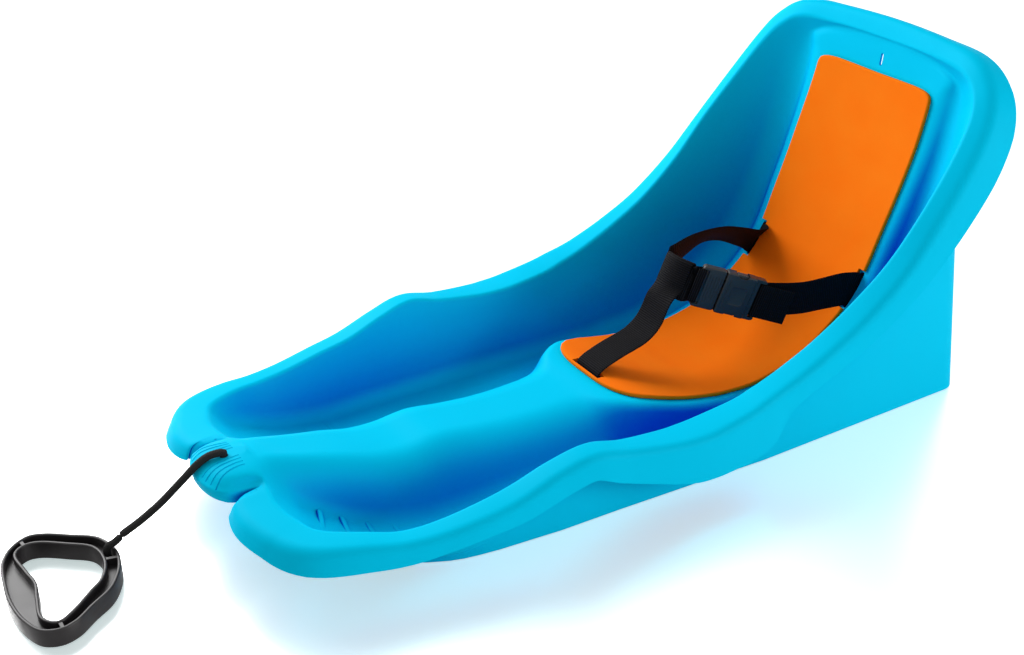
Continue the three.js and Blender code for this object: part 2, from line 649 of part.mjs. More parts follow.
function seat_pad() {
  const columns = [-1, -0.5, 0, 0.5, 1];
  const rows = pad_rows();
  const face = (level) => rows.flatMap(({ k, share }) => {
    const half = (along(rails[1], k, through).x - pad_margin) * share;
    return columns.map((column) => {
      const { at, out } = seat_frame(k, column * half);
      return at.addScaledVector(out, level);
    });
  });
  const levels = [face(pad_clearance), face(pad_clearance + pad_thickness)];
  const wide = columns.length;
  const count = levels[0].length;
  const triangles = [];
  for (let i = 0; i + 1 < rows.length; i++) {
    for (let j = 0; j + 1 < wide; j++) {
      const [a, b] = [i * wide + j, i * wide + j + 1];
      const [c, d] = [b + wide, a + wide];
      triangles.push([a, c, b], [a, d, c]);
      triangles.push([a + count, b + count, c + count], [a + count, c + count, d + count]);
    }
  }
  const right = rows.map((_, i) => i * wide + wide - 1);
  const left = rows.map((_, i) => i * wide);
  const far = columns.map((_, j) => (rows.length - 1) * wide + wide - 1 - j);
  const near = columns.map((_, j) => j);
  const edge = [...near, ...right.slice(1), ...far.slice(1), ...left.slice(1, -1).reverse()];
  edge.forEach((a, n) => {
    const b = edge[(n + 1) % edge.length];
    triangles.push([a, b, b + count], [a, b + count, a + count]);
  });
  const pad = solid_of(indexed(levels.flat(), triangles));
  return geometry_of(strap_slots(pad_slot_margin).reduce((left_over, cut) => left_over.subtract(cut), pad));
}

// Webbing

// A strap through stations of { at, across, sag, slanted }. Across points along the webbing's width, and
// sag is how far and which way its two edges lie behind its middle. Slanted keeps across as it is given.
function webbing(path) {
  const columns = [-1, -0.5, 0, 0.5, 1];
  const rings = path.map(({ at, across, sag, slanted }, n) => {
    const [before, after] = [path[Math.max(n - 1, 0)].at, path[Math.min(n + 1, path.length - 1)].at];
    const run = after.clone().sub(before).normalize();
    const wide = across.clone().addScaledVector(run, slanted ? 0 : -across.dot(run)).normalize();
    const out = run.clone().cross(wide).normalize();
    const face = (columns_in_order, level) => columns_in_order.map((w) => at.clone()
      .addScaledVector(wide, w * strap_width / 2)
      .addScaledVector(sag ?? out, sag ? w * w : 0)
      .addScaledVector(out, level * strap_thickness / 2));
    return [...face(columns, -1), ...face([...columns].reverse(), 1)];
  });
  return loft(rings);
}

// Stations round a bar, in the plane of u and v, from one angle to another
function bend(centre, u, v, radius, [from, to], across) {
  const steps = 6;
  return Array.from({ length: steps + 1 }, (_, n) => {
    const turn = (from + (to - from) * (n / steps)) * radian;
    const at = centre.clone()
      .addScaledVector(u, radius * Math.cos(turn))
      .addScaledVector(v, radius * Math.sin(turn));
    return { at, across };
  });
}

const vector = (list) => point(...list);

// The bar behind a slot, on the side of it that toward points to, and the strap's end round that bar
function anchor(k, x, toward, along_slot) {
  const { at, out } = seat_frame(k, x);
  const depth = hull_wall + stop_bar_clearance + stop_bar_radius;
  const reach = stop_bar_radius + strap_clearance + strap_thickness / 2;
  const centre = at.clone().addScaledVector(out, -depth).addScaledVector(toward, reach);
  const away = toward.clone().negate();
  const mouth = { at: at.clone().addScaledVector(out, pad_clearance + pad_thickness), across: along_slot };
  const wrap = bend(centre, away, out.clone().negate(), reach, [0, 190], along_slot);
  return { centre, stations: [mouth, ...wrap].reverse(), out };
}

function stop_bar({ centre }, direction) {
  const bar = rod(stop_bar_radius, stop_bar_length, 12);
  bar.applyQuaternion(new THREE.Quaternion().setFromUnitVectors(point(0, 1, 0), direction));
  bar.translate(...centre.toArray());
  return bar;
}

// Buckle's own frame: X along it, Y along the webbing's width, Z away from the child
const [yaw, pitch] = [buckle_yaw * radian, buckle_pitch * radian];
const buckle_x = point(Math.cos(pitch) * Math.cos(yaw), Math.cos(pitch) * Math.sin(yaw), Math.sin(pitch));
const buckle_y = point(-Math.sin(pitch) * Math.cos(yaw), -Math.sin(pitch) * Math.sin(yaw), Math.cos(pitch));
const buckle_z = buckle_x.clone().cross(buckle_y);
const buckle_matrix = new THREE.Matrix4().makeBasis(buckle_x, buckle_y, buckle_z);
buckle_matrix.setPosition(place(buckle_share));
const on_buckle = (x, y, z) => point(x, y, z).applyMatrix4(buckle_matrix);
const bar_reach = buckle_bar_radius + strap_clearance + strap_thickness / 2;

function placed(shares, ways) {
  return shares.map((share, n) => ({ at: place(share), across: vector(ways[n]) }));
}

const up_left = seat_frame(lap_slot_rib, -lap_slot_across).run;
const up_right = seat_frame(lap_slot_rib, lap_slot_across).run;
const back = seat_frame(crotch_slot_rib, 0).run;
const left_anchor = anchor(lap_slot_rib, -lap_slot_across, point(1, 0, 0), up_left);
const right_anchor = anchor(lap_slot_rib, lap_slot_across, point(-1, 0, 0), up_right);
const crotch_anchor = anchor(crotch_slot_rib, 0, back, point(1, 0, 0));

// The lap belt's bend inside the loop of the crotch strap, which bends with it
const loop_up = vector(loop_across).normalize();
const loop_side = point(Math.cos(loop_yaw * radian), Math.sin(loop_yaw * radian), 0);
const loop_front = loop_side.clone().cross(loop_up).normalize();
const loop_sag = loop_front.clone().multiplyScalar(-loop_bow);

function in_loop(forward, height, column) {
  return place(loop_share)
    .addScaledVector(loop_side, column * strap_width / 2)
    .addScaledVector(loop_sag, column * column)
    .addScaledVector(loop_front, forward)
    .addScaledVector(loop_up, height);
}

function lap_belt_left() {
  const inside = [-1.3, -1, -0.5, 0, 0.5, 1.08].map((column) => {
    return { at: in_loop(0, 0, column), across: loop_up, slanted: true };
  });
  const approach = { at: on_buckle(-plug_approach, 0, -bar_reach), across: buckle_y };
  const wrap = bend(on_buckle(0, 0, 0), buckle_z.clone().negate(), buckle_x, bar_reach, [0, 180], buckle_y);
  const end = { at: on_buckle(-plug_fold_length, 0, bar_reach), across: buckle_y };
  const way = placed(left_belt_shares, left_belt_across);
  return webbing([...left_anchor.stations, ...way, ...inside, approach, ...wrap, end]);
}

function lap_belt_right() {
  const tail = { at: on_buckle(buckle_length + tail_length, 0, bar_reach), across: buckle_y };
  const bar = on_buckle(buckle_length, 0, 0);
  const wrap = bend(bar, buckle_z, buckle_x.clone().negate(), bar_reach, [0, 180], buckle_y);
  const way = placed(right_belt_shares, right_belt_across);
  return webbing([tail, ...wrap, ...way, ...right_anchor.stations.reverse()]);
}

function crotch_strap() {
  const reach = strap_thickness + loop_clearance;
  const level = strap_width / 2;
  const spot = (forward, height) => ({ at: in_loop(forward, height, 0), across: loop_side, sag: loop_sag });
  const top = bend(spot(0, level).at, loop_front, loop_up, reach, [0, 180], loop_side);
  const approach = crotch_strap_shares.map((share) => ({ at: place(share), across: point(1, 0, 0) }));
  return webbing([
    ...crotch_anchor.stations,
    ...approach,
    spot(reach, -level / 2),
    spot(reach, 0),
    ...top.map((station) => ({ ...station, sag: loop_sag })),
    spot(-reach, 0),
    spot(-reach, -level),
  ]);
}

// Buckle, in its own frame

function plate(points, thickness, hole = []) {
  const shape = new THREE.Shape(points.map(([x, y]) => new THREE.Vector2(x, y)));
  if (hole.length) {
    shape.holes.push(new THREE.Path(hole.map(([x, y]) => new THREE.Vector2(x, y))));
  }
  const geometry = new THREE.ExtrudeGeometry(shape, { depth: thickness, bevelEnabled: false });
  geometry.translate(0, 0, -thickness / 2);
  return geometry;
}

// Outline of a rectangle with its corners cut off
function chamfered(x0, x1, half, corner) {
  return [
    [x0 + corner, -half], [x1 - corner, -half], [x1, corner - half], [x1, half - corner],
    [x1 - corner, half], [x0 + corner, half], [x0, half - corner], [x0, corner - half],
  ];
}

function block(x0, x1, half_y, half_z) {
  const geometry = box(x1 - x0, 2 * half_y, 2 * half_z);
  geometry.translate((x0 + x1) / 2, 0, 0);
  return solid_of(geometry);
}

function buckle_bar(x) {
  const bar = rod(buckle_bar_radius, buckle_width - 2 * buckle_wall, 12);
  bar.translate(x, 0, 0);
  return solid_of(bar);
}

const buckle_half = buckle_width / 2;

function on_belt(solid) {
  return geometry_of(solid).applyMatrix4(buckle_matrix);
}

function buckle_plug() {
  const outline = chamfered(-buckle_bar_radius, plug_length, buckle_half, buckle_corner);
  const window = block(-buckle_length, plug_window_end, frame_window / 2, buckle_thickness);
  const guide = block(plug_length - gap, guide_end, guide_width / 2, guide_thickness / 2);
  return on_belt(solid_of(plate(outline, frame_thickness)).subtract(window).add(buckle_bar(0)).add(guide));
}

function buckle_socket() {
  const sleeve = chamfered(plug_length + gap, socket_body_end, buckle_half, socket_corner);
  const frame = chamfered(socket_cavity_end, buckle_length + buckle_bar_radius, buckle_half, buckle_corner);
  const cavity_half = frame_thickness / 2 + cavity_clearance;
  const whole = solid_of(plate(sleeve, buckle_thickness)).add(solid_of(plate(frame, frame_thickness)));
  return on_belt(whole
    .subtract(block(0, socket_cavity_end, buckle_half - buckle_wall, cavity_half))
    .subtract(block(...press_window, buckle_width, cavity_half))
    .subtract(block(socket_window_start, 2 * buckle_length, frame_window / 2, buckle_thickness))
    .add(buckle_bar(buckle_length)));
}

// One of the plug's two sprung arms: a round root, an arm, the pad that is pressed and the catching tip
function buckle_prong(side) {
  const [x, y] = prong_hinge;
  const root = [270, 240, 210, 180, 150, 120, 90].map((degrees) => [
    x + prong_root_radius * Math.cos(degrees * radian),
    y + prong_root_radius * Math.sin(degrees * radian),
  ]);
  const outline = [...root, ...prong_outline].map(([a, b]) => [a, b * side]);
  return on_belt(solid_of(plate(outline, prong_thickness)));
}

// Rope and knots

function tube(route, steps) {
  const turn = (n) => (n / rope_sides) * 2 * Math.PI;
  const ring = Array.from({ length: rope_sides }, (_, n) => new THREE.Vector2(
    rope_diameter / 2 * Math.cos(turn(n)),
    rope_diameter / 2 * Math.sin(turn(n)),
  ));
  const extrudePath = new THREE.CatmullRomCurve3(route.map((at) => point(...at)));
  return new THREE.ExtrudeGeometry(new THREE.Shape(ring), { steps, extrudePath, bevelEnabled: false });
}

function ball(at, size) {
  const geometry = new THREE.SphereGeometry(rope_diameter / 2, 12, 8);
  geometry.scale(...size.map((length) => length / rope_diameter));
  geometry.translate(...at);
  return solid_of(geometry);
}

const rope_end_size = [rope_diameter, rope_diameter, rope_diameter];

function rope_stopper_knot() {
  const [x, y, z] = nose_pivot;
  const low = z - nose_knot_drop;
  const stub = rod(rope_diameter / 2, nose_knot_drop, 12);
  stub.rotateX(Math.PI / 2);
  stub.translate(x, y, (z + low) / 2);
  const end = ball(nose_pivot, rope_end_size);
  return geometry_of(solid_of(stub).add(end).add(ball([x, y, low], nose_knot_size)));
}

function rope_handle_knot() {
  const [x, y] = rope_end_route[rope_end_route.length - 1];
  const run = solid_of(tube(rope_end_route, 8));
  const end = ball(handle_pivot, rope_end_size);
  return geometry_of(run.add(end).add(ball([x, y, handle_knot_level], handle_knot_size)));
}

// Handle

function handle_curve(shares) {
  const points = shares.map(([x, y]) => {
    return point(handle_left + x * handle_width, y * handle_depth - handle_ahead, 0);
  });
  return new THREE.CatmullRomCurve3(points, true).getPoints(handle_steps).slice(0, -1);
}

// The curve moved sideways: inwards for a positive distance where the curve runs counterclockwise
function moved(curve, distance) {
  return curve.map((at, n) => {
    const [before, after] = [n + curve.length - 1, n + 1].map((index) => curve[index % curve.length]);
    const run = after.clone().sub(before).normalize();
    return [at.x - run.y * distance, at.y + run.x * distance];
  });
}

function handle_band(inset, bottom, top) {
  const outer = moved(handle_curve(handle_outline_shares), inset);
  const inner = moved(handle_curve(handle_hole_shares), -inset);
  const band = plate(outer, top - bottom, inner);
  band.translate(0, 0, (top + bottom) / 2);
  return solid_of(band);
}

function pull_handle() {
  const whole = handle_band(0, 0, handle_height);
  const web_top = handle_hollow + handle_web;
  const hollow = handle_band(handle_wall, web_top, handle_height + overrun)
    .add(handle_band(handle_wall, -overrun, handle_hollow));
  const ribs = handle_rib_shares.map(([x, y, degrees]) => {
    const rib = box(handle_rib_length, handle_rib, handle_height);
    rib.rotateZ(degrees * radian);
    rib.translate(handle_left + x * handle_width, y * handle_depth - handle_ahead, handle_height / 2);
    return solid_of(rib).intersect(whole);
  });
  const [x, y] = rope_end_route[rope_end_route.length - 1];
  const hole = rod(rope_diameter / 2 + rope_clearance, 2 * handle_height);
  hole.rotateX(Math.PI / 2);
  hole.translate(x, y, 0);
  const ribbed = ribs.reduce((sum, rib) => sum.add(rib), whole.subtract(hollow));
  return geometry_of(ribbed.subtract(solid_of(hole)));
}

// The whole sled

const group = new THREE.Group();
function add(name, geometry, material) {
  const mesh = new THREE.Mesh(geometry, material);
  mesh.name = name;
  group.add(mesh);
}

add("hull", hull(), hull_plastic);
add("seat_pad", seat_pad(), orange_foam);
add("lap_belt_left", lap_belt_left(), black_webbing);
add("lap_belt_right", lap_belt_right(), black_webbing);
add("crotch_strap", crotch_strap(), black_webbing);
add("strap_stop_left", stop_bar(left_anchor, up_left), black_plastic);
add("strap_stop_right", stop_bar(right_anchor, up_right), black_plastic);
add("strap_stop_crotch", stop_bar(crotch_anchor, point(1, 0, 0)), black_plastic);
add("buckle_plug", buckle_plug(), black_plastic);
add("buckle_prong_left", buckle_prong(1), black_plastic);
add("buckle_prong_right", buckle_prong(-1), black_plastic);
add("buckle_socket", buckle_socket(), black_plastic);
add("rope_stopper_knot", rope_stopper_knot(), black_rope);
add("pull_rope", tube(rope_route, rope_steps), black_rope);
add("rope_handle_knot", rope_handle_knot(), black_rope);
add("pull_handle", pull_handle(), black_plastic);

export default group;
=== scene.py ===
"""Dresses the toddler's pull sled: fine hull, pad, webbing, buckle, rope and handle round the fixed frame."""
import math

import bmesh
import bpy
import numpy as np
from mathutils import Matrix, Vector
from mathutils.bvhtree import BVHTree
from mathutils.geometry import tessellate_polygon


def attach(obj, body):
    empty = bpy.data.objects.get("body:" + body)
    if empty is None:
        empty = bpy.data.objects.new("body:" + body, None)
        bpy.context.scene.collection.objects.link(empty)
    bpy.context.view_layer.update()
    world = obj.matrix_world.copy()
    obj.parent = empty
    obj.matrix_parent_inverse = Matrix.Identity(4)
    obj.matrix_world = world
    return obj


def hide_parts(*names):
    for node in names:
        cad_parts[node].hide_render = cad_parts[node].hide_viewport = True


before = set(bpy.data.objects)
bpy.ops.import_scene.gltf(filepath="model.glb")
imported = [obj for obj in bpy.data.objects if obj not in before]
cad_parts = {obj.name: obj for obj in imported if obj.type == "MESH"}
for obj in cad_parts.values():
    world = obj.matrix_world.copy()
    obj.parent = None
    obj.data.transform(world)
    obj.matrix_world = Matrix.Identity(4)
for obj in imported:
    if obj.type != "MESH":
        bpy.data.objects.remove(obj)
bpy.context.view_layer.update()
MM = 0.001
rad = math.radians


def vec(*v):
    return np.array(v, float)


def unit(v):
    v = np.asarray(v, float)
    return v / np.linalg.norm(v)


# Camera: the photograph's place and angle, in metres
CAMERA_AT = (1.02558, -0.63489, 0.78972)
CAMERA_ANGLES = (57.82055, 28.62996, -0.207)  # azimuth, elevation and roll
LENS = 50.274


def make_camera():
    azimuth, elevation, roll = map(rad, CAMERA_ANGLES)
    level = math.cos(elevation)
    back = Vector((math.sin(azimuth) * level, -math.cos(azimuth) * level, math.sin(elevation)))
    right = (-back).cross(Vector((0, 0, 1))).normalized()
    up = right.cross(-back)
    turned = right * math.cos(roll) + up * math.sin(roll)
    raised = up * math.cos(roll) - right * math.sin(roll)
    data = bpy.data.cameras.new("camera")
    data.lens = LENS
    data.sensor_width = 36
    data.clip_end = 30
    camera = new_object("camera", data)
    camera.matrix_world = frame_matrix((turned, raised, back), CAMERA_AT)
    bpy.context.scene.camera = camera


def new_object(name, data):
    thing = bpy.data.objects.new(name, data)
    bpy.context.scene.collection.objects.link(thing)
    return thing


def frame_matrix(columns, at):
    """A matrix from the ways of its three axes and its place."""
    return Matrix([[*(column[row] for column in columns), at[row]] for row in range(3)] + [[0, 0, 0, 1]])


make_camera()


# Meshes from numpy arrays in millimetres
def make_object(name, points, faces, material=None, uvs=None):
    mesh = bpy.data.meshes.new(name)
    corners = [tuple(p) for p in np.asarray(points, float) * MM]
    mesh.from_pydata(corners, [], [tuple(int(i) for i in face) for face in faces])
    mesh.validate()
    if uvs is not None:
        layer = mesh.uv_layers.new(name="UVMap")
        index = np.zeros(len(mesh.loops), int)
        mesh.loops.foreach_get("vertex_index", index)
        layer.data.foreach_set("uv", np.asarray(uvs)[index].ravel())
    mesh.shade_smooth()
    if material is not None:
        mesh.materials.append(material)
    return new_object(name, mesh)


def ring_faces(rings, sides, closed=False):
    """Faces of a tube from its rings of points. An open tube gets a cap at both ends."""
    faces = []
    for n in range(rings if closed else rings - 1):
        a, b = n * sides, (n + 1) % rings * sides
        faces += [(a + i, a + (i + 1) % sides, b + (i + 1) % sides, b + i) for i in range(sides)]
    if not closed:
        faces.append(tuple(range(sides))[::-1])
        faces.append(tuple(range((rings - 1) * sides, rings * sides)))
    return faces


def work_object(name, work):
    mesh = bpy.data.meshes.new(name)
    work.to_mesh(mesh)
    work.free()
    return new_object(name, mesh)


def face_outwards(thing):
    work = bmesh.new()
    work.from_mesh(thing.data)
    bmesh.ops.recalc_face_normals(work, faces=work.faces)
    work.to_mesh(thing.data)
    work.free()
    return thing


def shade(thing, sharp_angle):
    thing.data.shade_smooth()
    thing.data.set_sharp_from_angle(angle=rad(sharp_angle))


def apply_modifiers(thing):
    depsgraph = bpy.context.evaluated_depsgraph_get()
    mesh = bpy.data.meshes.new_from_object(thing.evaluated_get(depsgraph))
    thing.modifiers.clear()
    old = thing.data
    thing.data = mesh
    bpy.data.meshes.remove(old)
    mesh.name = thing.name


def boolean(thing, cutter, operation="DIFFERENCE"):
    modifier = thing.modifiers.new("cut", "BOOLEAN")
    modifier.operation = operation
    modifier.solver = "MANIFOLD"
    modifier.object = cutter
    apply_modifiers(thing)
    bpy.data.objects.remove(cutter)


def bevel(thing, width, segments=3, angle=30):
    modifier = thing.modifiers.new("round", "BEVEL")
    modifier.width = width * MM
    modifier.segments = segments
    modifier.limit_method = "ANGLE"
    modifier.angle_limit = rad(angle)
    modifier.use_clamp_overlap = True
    modifier.harden_normals = False
    apply_modifiers(thing)


def at_matrix(at, x_way, y_way):
    z_way = unit(np.cross(x_way, y_way))
    y_way = np.cross(z_way, unit(x_way))
    return frame_matrix((unit(x_way), y_way, z_way), [p * MM for p in at])


def boxes_object(name, boxes):
    """Boxes in one object, each given by its size and its matrix."""
    work = bmesh.new()
    for size, matrix in boxes:
        made = bmesh.ops.create_cube(work, size=1)["verts"]
        bmesh.ops.scale(work, vec=Vector(size) * MM, verts=made)
        bmesh.ops.transform(work, matrix=matrix, verts=made)
    return work_object(name, work)


def cylinder_object(name, radius, length, centre, axis, sides=32):
    work = bmesh.new()
    wide, deep = radius * MM, length * MM
    bmesh.ops.create_cone(work, cap_ends=True, segments=sides, radius1=wide, radius2=wide, depth=deep)
    turn = Vector((0, 0, 1)).rotation_difference(Vector(axis)).to_matrix().to_4x4()
    bmesh.ops.transform(work, matrix=Matrix.Translation(Vector(centre) * MM) @ turn, verts=work.verts)
    return work_object(name, work)


def join(name, things):
    work = bmesh.new()
    for thing in things:
        work.from_mesh(thing.data)
    made = work_object(name, work)
    for slot in things[0].data.materials:
        made.data.materials.append(slot)
    for thing in things:
        bpy.data.objects.remove(thing)
    return made


def dress(thing, material, sharp_angle):
    """Gives a thing its one material and smooth shading, apart from edges sharper than the angle."""
    thing.data.materials.clear()
    thing.data.materials.append(material)
    shade(thing, sharp_angle)


# Materials
class Nodes:
    """Builds the shader of a new material, given its name, or that of the world."""
    def __init__(self, owner, shader="Principled BSDF"):
        self.owner = bpy.data.materials.new(owner) if isinstance(owner, str) else owner
        self.owner.use_nodes = True
        self.tree = self.owner.node_tree
        self.shader = self.tree.nodes[shader]

    def feed(self, socket, value):
        """Links an output to a socket, or sets the socket's own value."""
        if hasattr(value, "is_output"):
            self.tree.links.new(value, socket)
        else:
            socket.default_value = value

    def node(self, kind, **values):
        """A new node. Each value goes to the attribute or else to the input of that name."""
        made = self.tree.nodes.new(kind)
        for key, value in values.items():
            if hasattr(made, key):
                setattr(made, key, value)
            else:
                self.feed(made.inputs[key.replace("_", " ")], value)
        return made

    def math(self, operation, a, b=None):
        made = self.node("ShaderNodeMath", operation=operation)
        for socket, value in zip(made.inputs, (a, b)):
            if value is not None:
                self.feed(socket, value)
        return made.outputs[0]

    def wave(self, value):
        """A row of humps, one for each whole number."""
        return self.math("ABSOLUTE", self.math("SINE", self.math("MULTIPLY", value, math.pi)))

    def place(self):
        return self.node("ShaderNodeTexCoord").outputs["Object"]

    def noise(self, scale, detail=3.0):
        made = self.node("ShaderNodeTexNoise", Scale=scale, Detail=detail, Vector=self.place())
        return made.outputs["Fac"]

    def ramp(self, source, *stops):
        made = self.tree.nodes.new("ShaderNodeValToRGB")
        for element, (at, colour) in zip(made.color_ramp.elements, stops):
            element.position = at
            element.color = (*colour, 1)
        self.feed(made.inputs[0], source)
        return made.outputs[0]

    def range(self, source, low, high):
        made = self.node("ShaderNodeMapRange", Value=source, To_Min=low, To_Max=high)
        return made.outputs[0]

    def bump(self, height, strength, distance, below=None):
        made = self.node("ShaderNodeBump", Strength=strength, Distance=distance, Height=height)
        if below is not None:
            self.feed(made.inputs["Normal"], below)
        return made.outputs[0]

    def set(self, **values):
        for key, value in values.items():
            self.feed(self.shader.inputs[key.replace("_", " ")], value)
        return self.owner

    def uv(self):
        split = self.tree.nodes.new("ShaderNodeSeparateXYZ")
        self.feed(split.inputs[0], self.tree.nodes.new("ShaderNodeUVMap").outputs[0])
        return split.outputs[0], split.outputs[1]


def hull_material():
    n = Nodes("hull_plastic")
    colour = n.ramp(n.noise(7, 2), (0.3, (0.0, 0.57, 0.86)), (0.7, (0.0, 0.59, 0.89)))
    # The colour darkens to deep blue where ambient occlusion finds walls facing one another: painted shade in
    # the hollows
    shade_occlusion = n.node("ShaderNodeAmbientOcclusion", samples=12, only_local=True, Distance=0.3)
    depth = n.range(shade_occlusion.outputs["AO"], 1.7, -0.45)
    painted_shade_colour = n.node("ShaderNodeMix", data_type="RGBA")
    # The deep blue mixed in by the occlusion factor is painted shade, not the plastic's own tone
    for socket, value in ((0, depth), (6, colour), (7, (0.0, 0.06, 0.57, 1))):  # factor and two colours
        n.feed(painted_shade_colour.inputs[socket], value)
    rough = n.range(n.noise(34, 4), 0.42, 0.52)
    skin = n.bump(n.noise(420, 4), 0.05, 0.0006)
    return n.set(Base_Color=painted_shade_colour.outputs[2], Roughness=rough, Normal=skin, Specular_IOR_Level=0.015)


def foam_material():
    n = Nodes("orange_foam")
    colour = n.ramp(n.noise(26, 4), (0.3, (1.0, 0.18, 0.002)), (0.7, (1.0, 0.2, 0.004)))
    cells = n.node("ShaderNodeTexVoronoi", Scale=1500, Vector=n.place())
    fine = n.bump(cells.outputs["Distance"], 0.22, 0.0004)
    soft = n.bump(n.noise(90, 3), 0.12, 0.0008, fine)
    return n.set(Base_Color=colour, Roughness=0.9, Normal=soft, Specular_IOR_Level=0.08)


WEFT_PITCH, WARP_PITCH = 2.2, 1.45  # millimetres


def webbing_material():
    n = Nodes("black_webbing")
    u, v = n.uv()
    # Weft ribs across the strap, each crossed by warp threads that go over and under in turn
    row = n.math("MULTIPLY", u, 1 / WEFT_PITCH)
    column = n.math("MULTIPLY", v, 1 / WARP_PITCH)
    shifted = n.math("ADD", row, n.math("MULTIPLY", n.math("FLOOR", column), 0.5))
    thread = n.math("MULTIPLY", n.math("POWER", n.wave(column), 0.5), n.math("POWER", n.wave(shifted), 0.7))
    height = n.math("ADD", n.math("MULTIPLY", n.wave(row), 0.75), n.math("MULTIPLY", thread, 0.45))
    # The colour follows the weave's height: lighter on the crests, painted highlight, and darker in the
    # hollows, painted shade
    colour = n.ramp(height, (0.45, (0.0005, 0.0005, 0.001)), (1.0, (0.01, 0.0095, 0.0115)))
    fuzz = n.bump(n.noise(1600, 2), 0.15, 0.0003, n.bump(height, 0.9, 0.0005))
    rough = n.range(height, 0.85, 0.55)
    return n.set(Base_Color=colour, Roughness=rough, Normal=fuzz, Specular_IOR_Level=0.05)


def rope_material():
    n = Nodes("black_rope")
    u, v = n.uv()
    twist = n.math("ADD", n.math("MULTIPLY", u, 5.0), n.math("MULTIPLY", v, 44.0))
    fibre = n.math("ABSOLUTE", n.math("SINE", twist))
    height = n.math("ADD", n.math("MULTIPLY", fibre, 0.6), n.math("MULTIPLY", n.noise(1300, 2), 0.4))
    # Lighter on the strands, painted highlight, and darker between them, painted shade, with some random tone
    # from the noise
    colour = n.ramp(height, (0.2, (0.004, 0.004, 0.004)), (0.9, (0.018, 0.0175, 0.017)))
    strands = n.bump(height, 0.7, 0.0003)
    return n.set(Base_Color=colour, Roughness=0.72, Normal=strands, Specular_IOR_Level=0.25)


def plastic_material():
    n = Nodes("black_plastic")
    colour = n.ramp(n.noise(60, 4), (0.3, (0.017, 0.015, 0.016)), (0.7, (0.022, 0.0195, 0.0205)))
    grain = n.bump(n.noise(1100, 3), 0.1, 0.0003)
    rough = n.range(n.noise(45, 3), 0.3, 0.44)
    return n.set(Base_Color=colour, Roughness=rough, Normal=grain, Specular_IOR_Level=0.38)


hull_plastic = hull_material()
orange_foam = foam_material()
black_webbing = webbing_material()
black_rope = rope_material()
black_plastic = plastic_material()


# Rope: a braided tube and its knots
ROPE = 7
KNOTTED = ROPE / 2 - 0.05  # radius of the rope where it goes into a knot
NOSE = vec(0, -290, 91.8)  # middle of the rope's hole
HANDLE_HOLE = (-19, -399.1)
ROPE_ROUTE = [
    [0.1, -289.6, 90.6], [-0.1, -291.2, 91.7], [-0.3, -293.8, 92.1], [-1, -298, 92.1], [-2, -303, 91.1],
    [-3.2, -309, 88.1], [-4.6, -315.5, 83.2], [-6.4, -324, 75], [-8.7, -336, 63.9], [-11, -348, 53.1],
    [-14, -368, 39.2], [-16.6, -383.5, 30.1], [-17.0, -385.4, 28.4],
]
ROPE_END = [
    [-17.0, -385.2, 28.5], [-17.2, -386.2, 27.6], [-17.9, -390.3, 24.1], [-18.3, -393.4, 22.5],
    [-18.7, -396.6, 21.4], [-18.95, -398.6, 18.6], [*HANDLE_HOLE, 14], [*HANDLE_HOLE, 5],
]
SPAN_POINTS = 24


def path_lengths(points):
    """How far along its path each point lies."""
    return np.concatenate([[0], np.cumsum(np.linalg.norm(np.diff(points, axis=0), axis=1))])


def curve_points(points, step, closed=False):
    """A centripetal curve through points, sampled evenly."""
    points = np.asarray(points, float)
    count = len(points)
    if closed:
        points = np.concatenate([points[-1:], points, points[:2]])
    else:
        points = np.concatenate([[2 * points[0] - points[1]], points, [2 * points[-1] - points[-2]]])
    out = []
    for i in range(1, (count if closed else count - 1) + 1):
        p = points[i - 1:i + 3]
        gaps = np.maximum(np.linalg.norm(np.diff(p, axis=0), axis=1), 1e-6)
        t = np.concatenate([[0], np.cumsum(gaps ** 0.5)])
        for u in np.linspace(t[1], t[2], SPAN_POINTS, endpoint=False):
            a = [(p[k] * (t[k + 1] - u) + p[k + 1] * (u - t[k])) / (t[k + 1] - t[k]) for k in range(3)]
            b = [(a[k] * (t[k + 2] - u) + a[k + 1] * (u - t[k])) / (t[k + 2] - t[k]) for k in range(2)]
            out.append((b[0] * (t[2] - u) + b[1] * (u - t[1])) / (t[2] - t[1]))
    out.append(points[1] if closed else points[-2])
    out = np.array(out)
    reach = path_lengths(out)
    places = np.linspace(0, reach[-1], max(2, int(round(reach[-1] / step)) + 1))
    return np.stack([np.interp(places, reach, out[:, i]) for i in range(out.shape[1])], -1), places


def braid(turn, run, radius, strands):
    """How far the braid stands out: pillows of two crossing sets of strands."""
    around = strands * turn / (2 * math.pi)
    pitch = 2 * math.pi * radius / strands
    a, b = around + run / pitch / 1.15, around - run / pitch / 1.15
    over = (np.floor(a) + np.floor(b)) % 2 < 1
    fa, fb = np.abs(2 * (a % 1) - 1), np.abs(2 * (b % 1) - 1)
    first = (1 - fa ** 2.6) * (1 - 0.45 * fb ** 2)
    second = (1 - fb ** 2.6) * (1 - 0.45 * fa ** 2)
    return np.where(over, first, second)


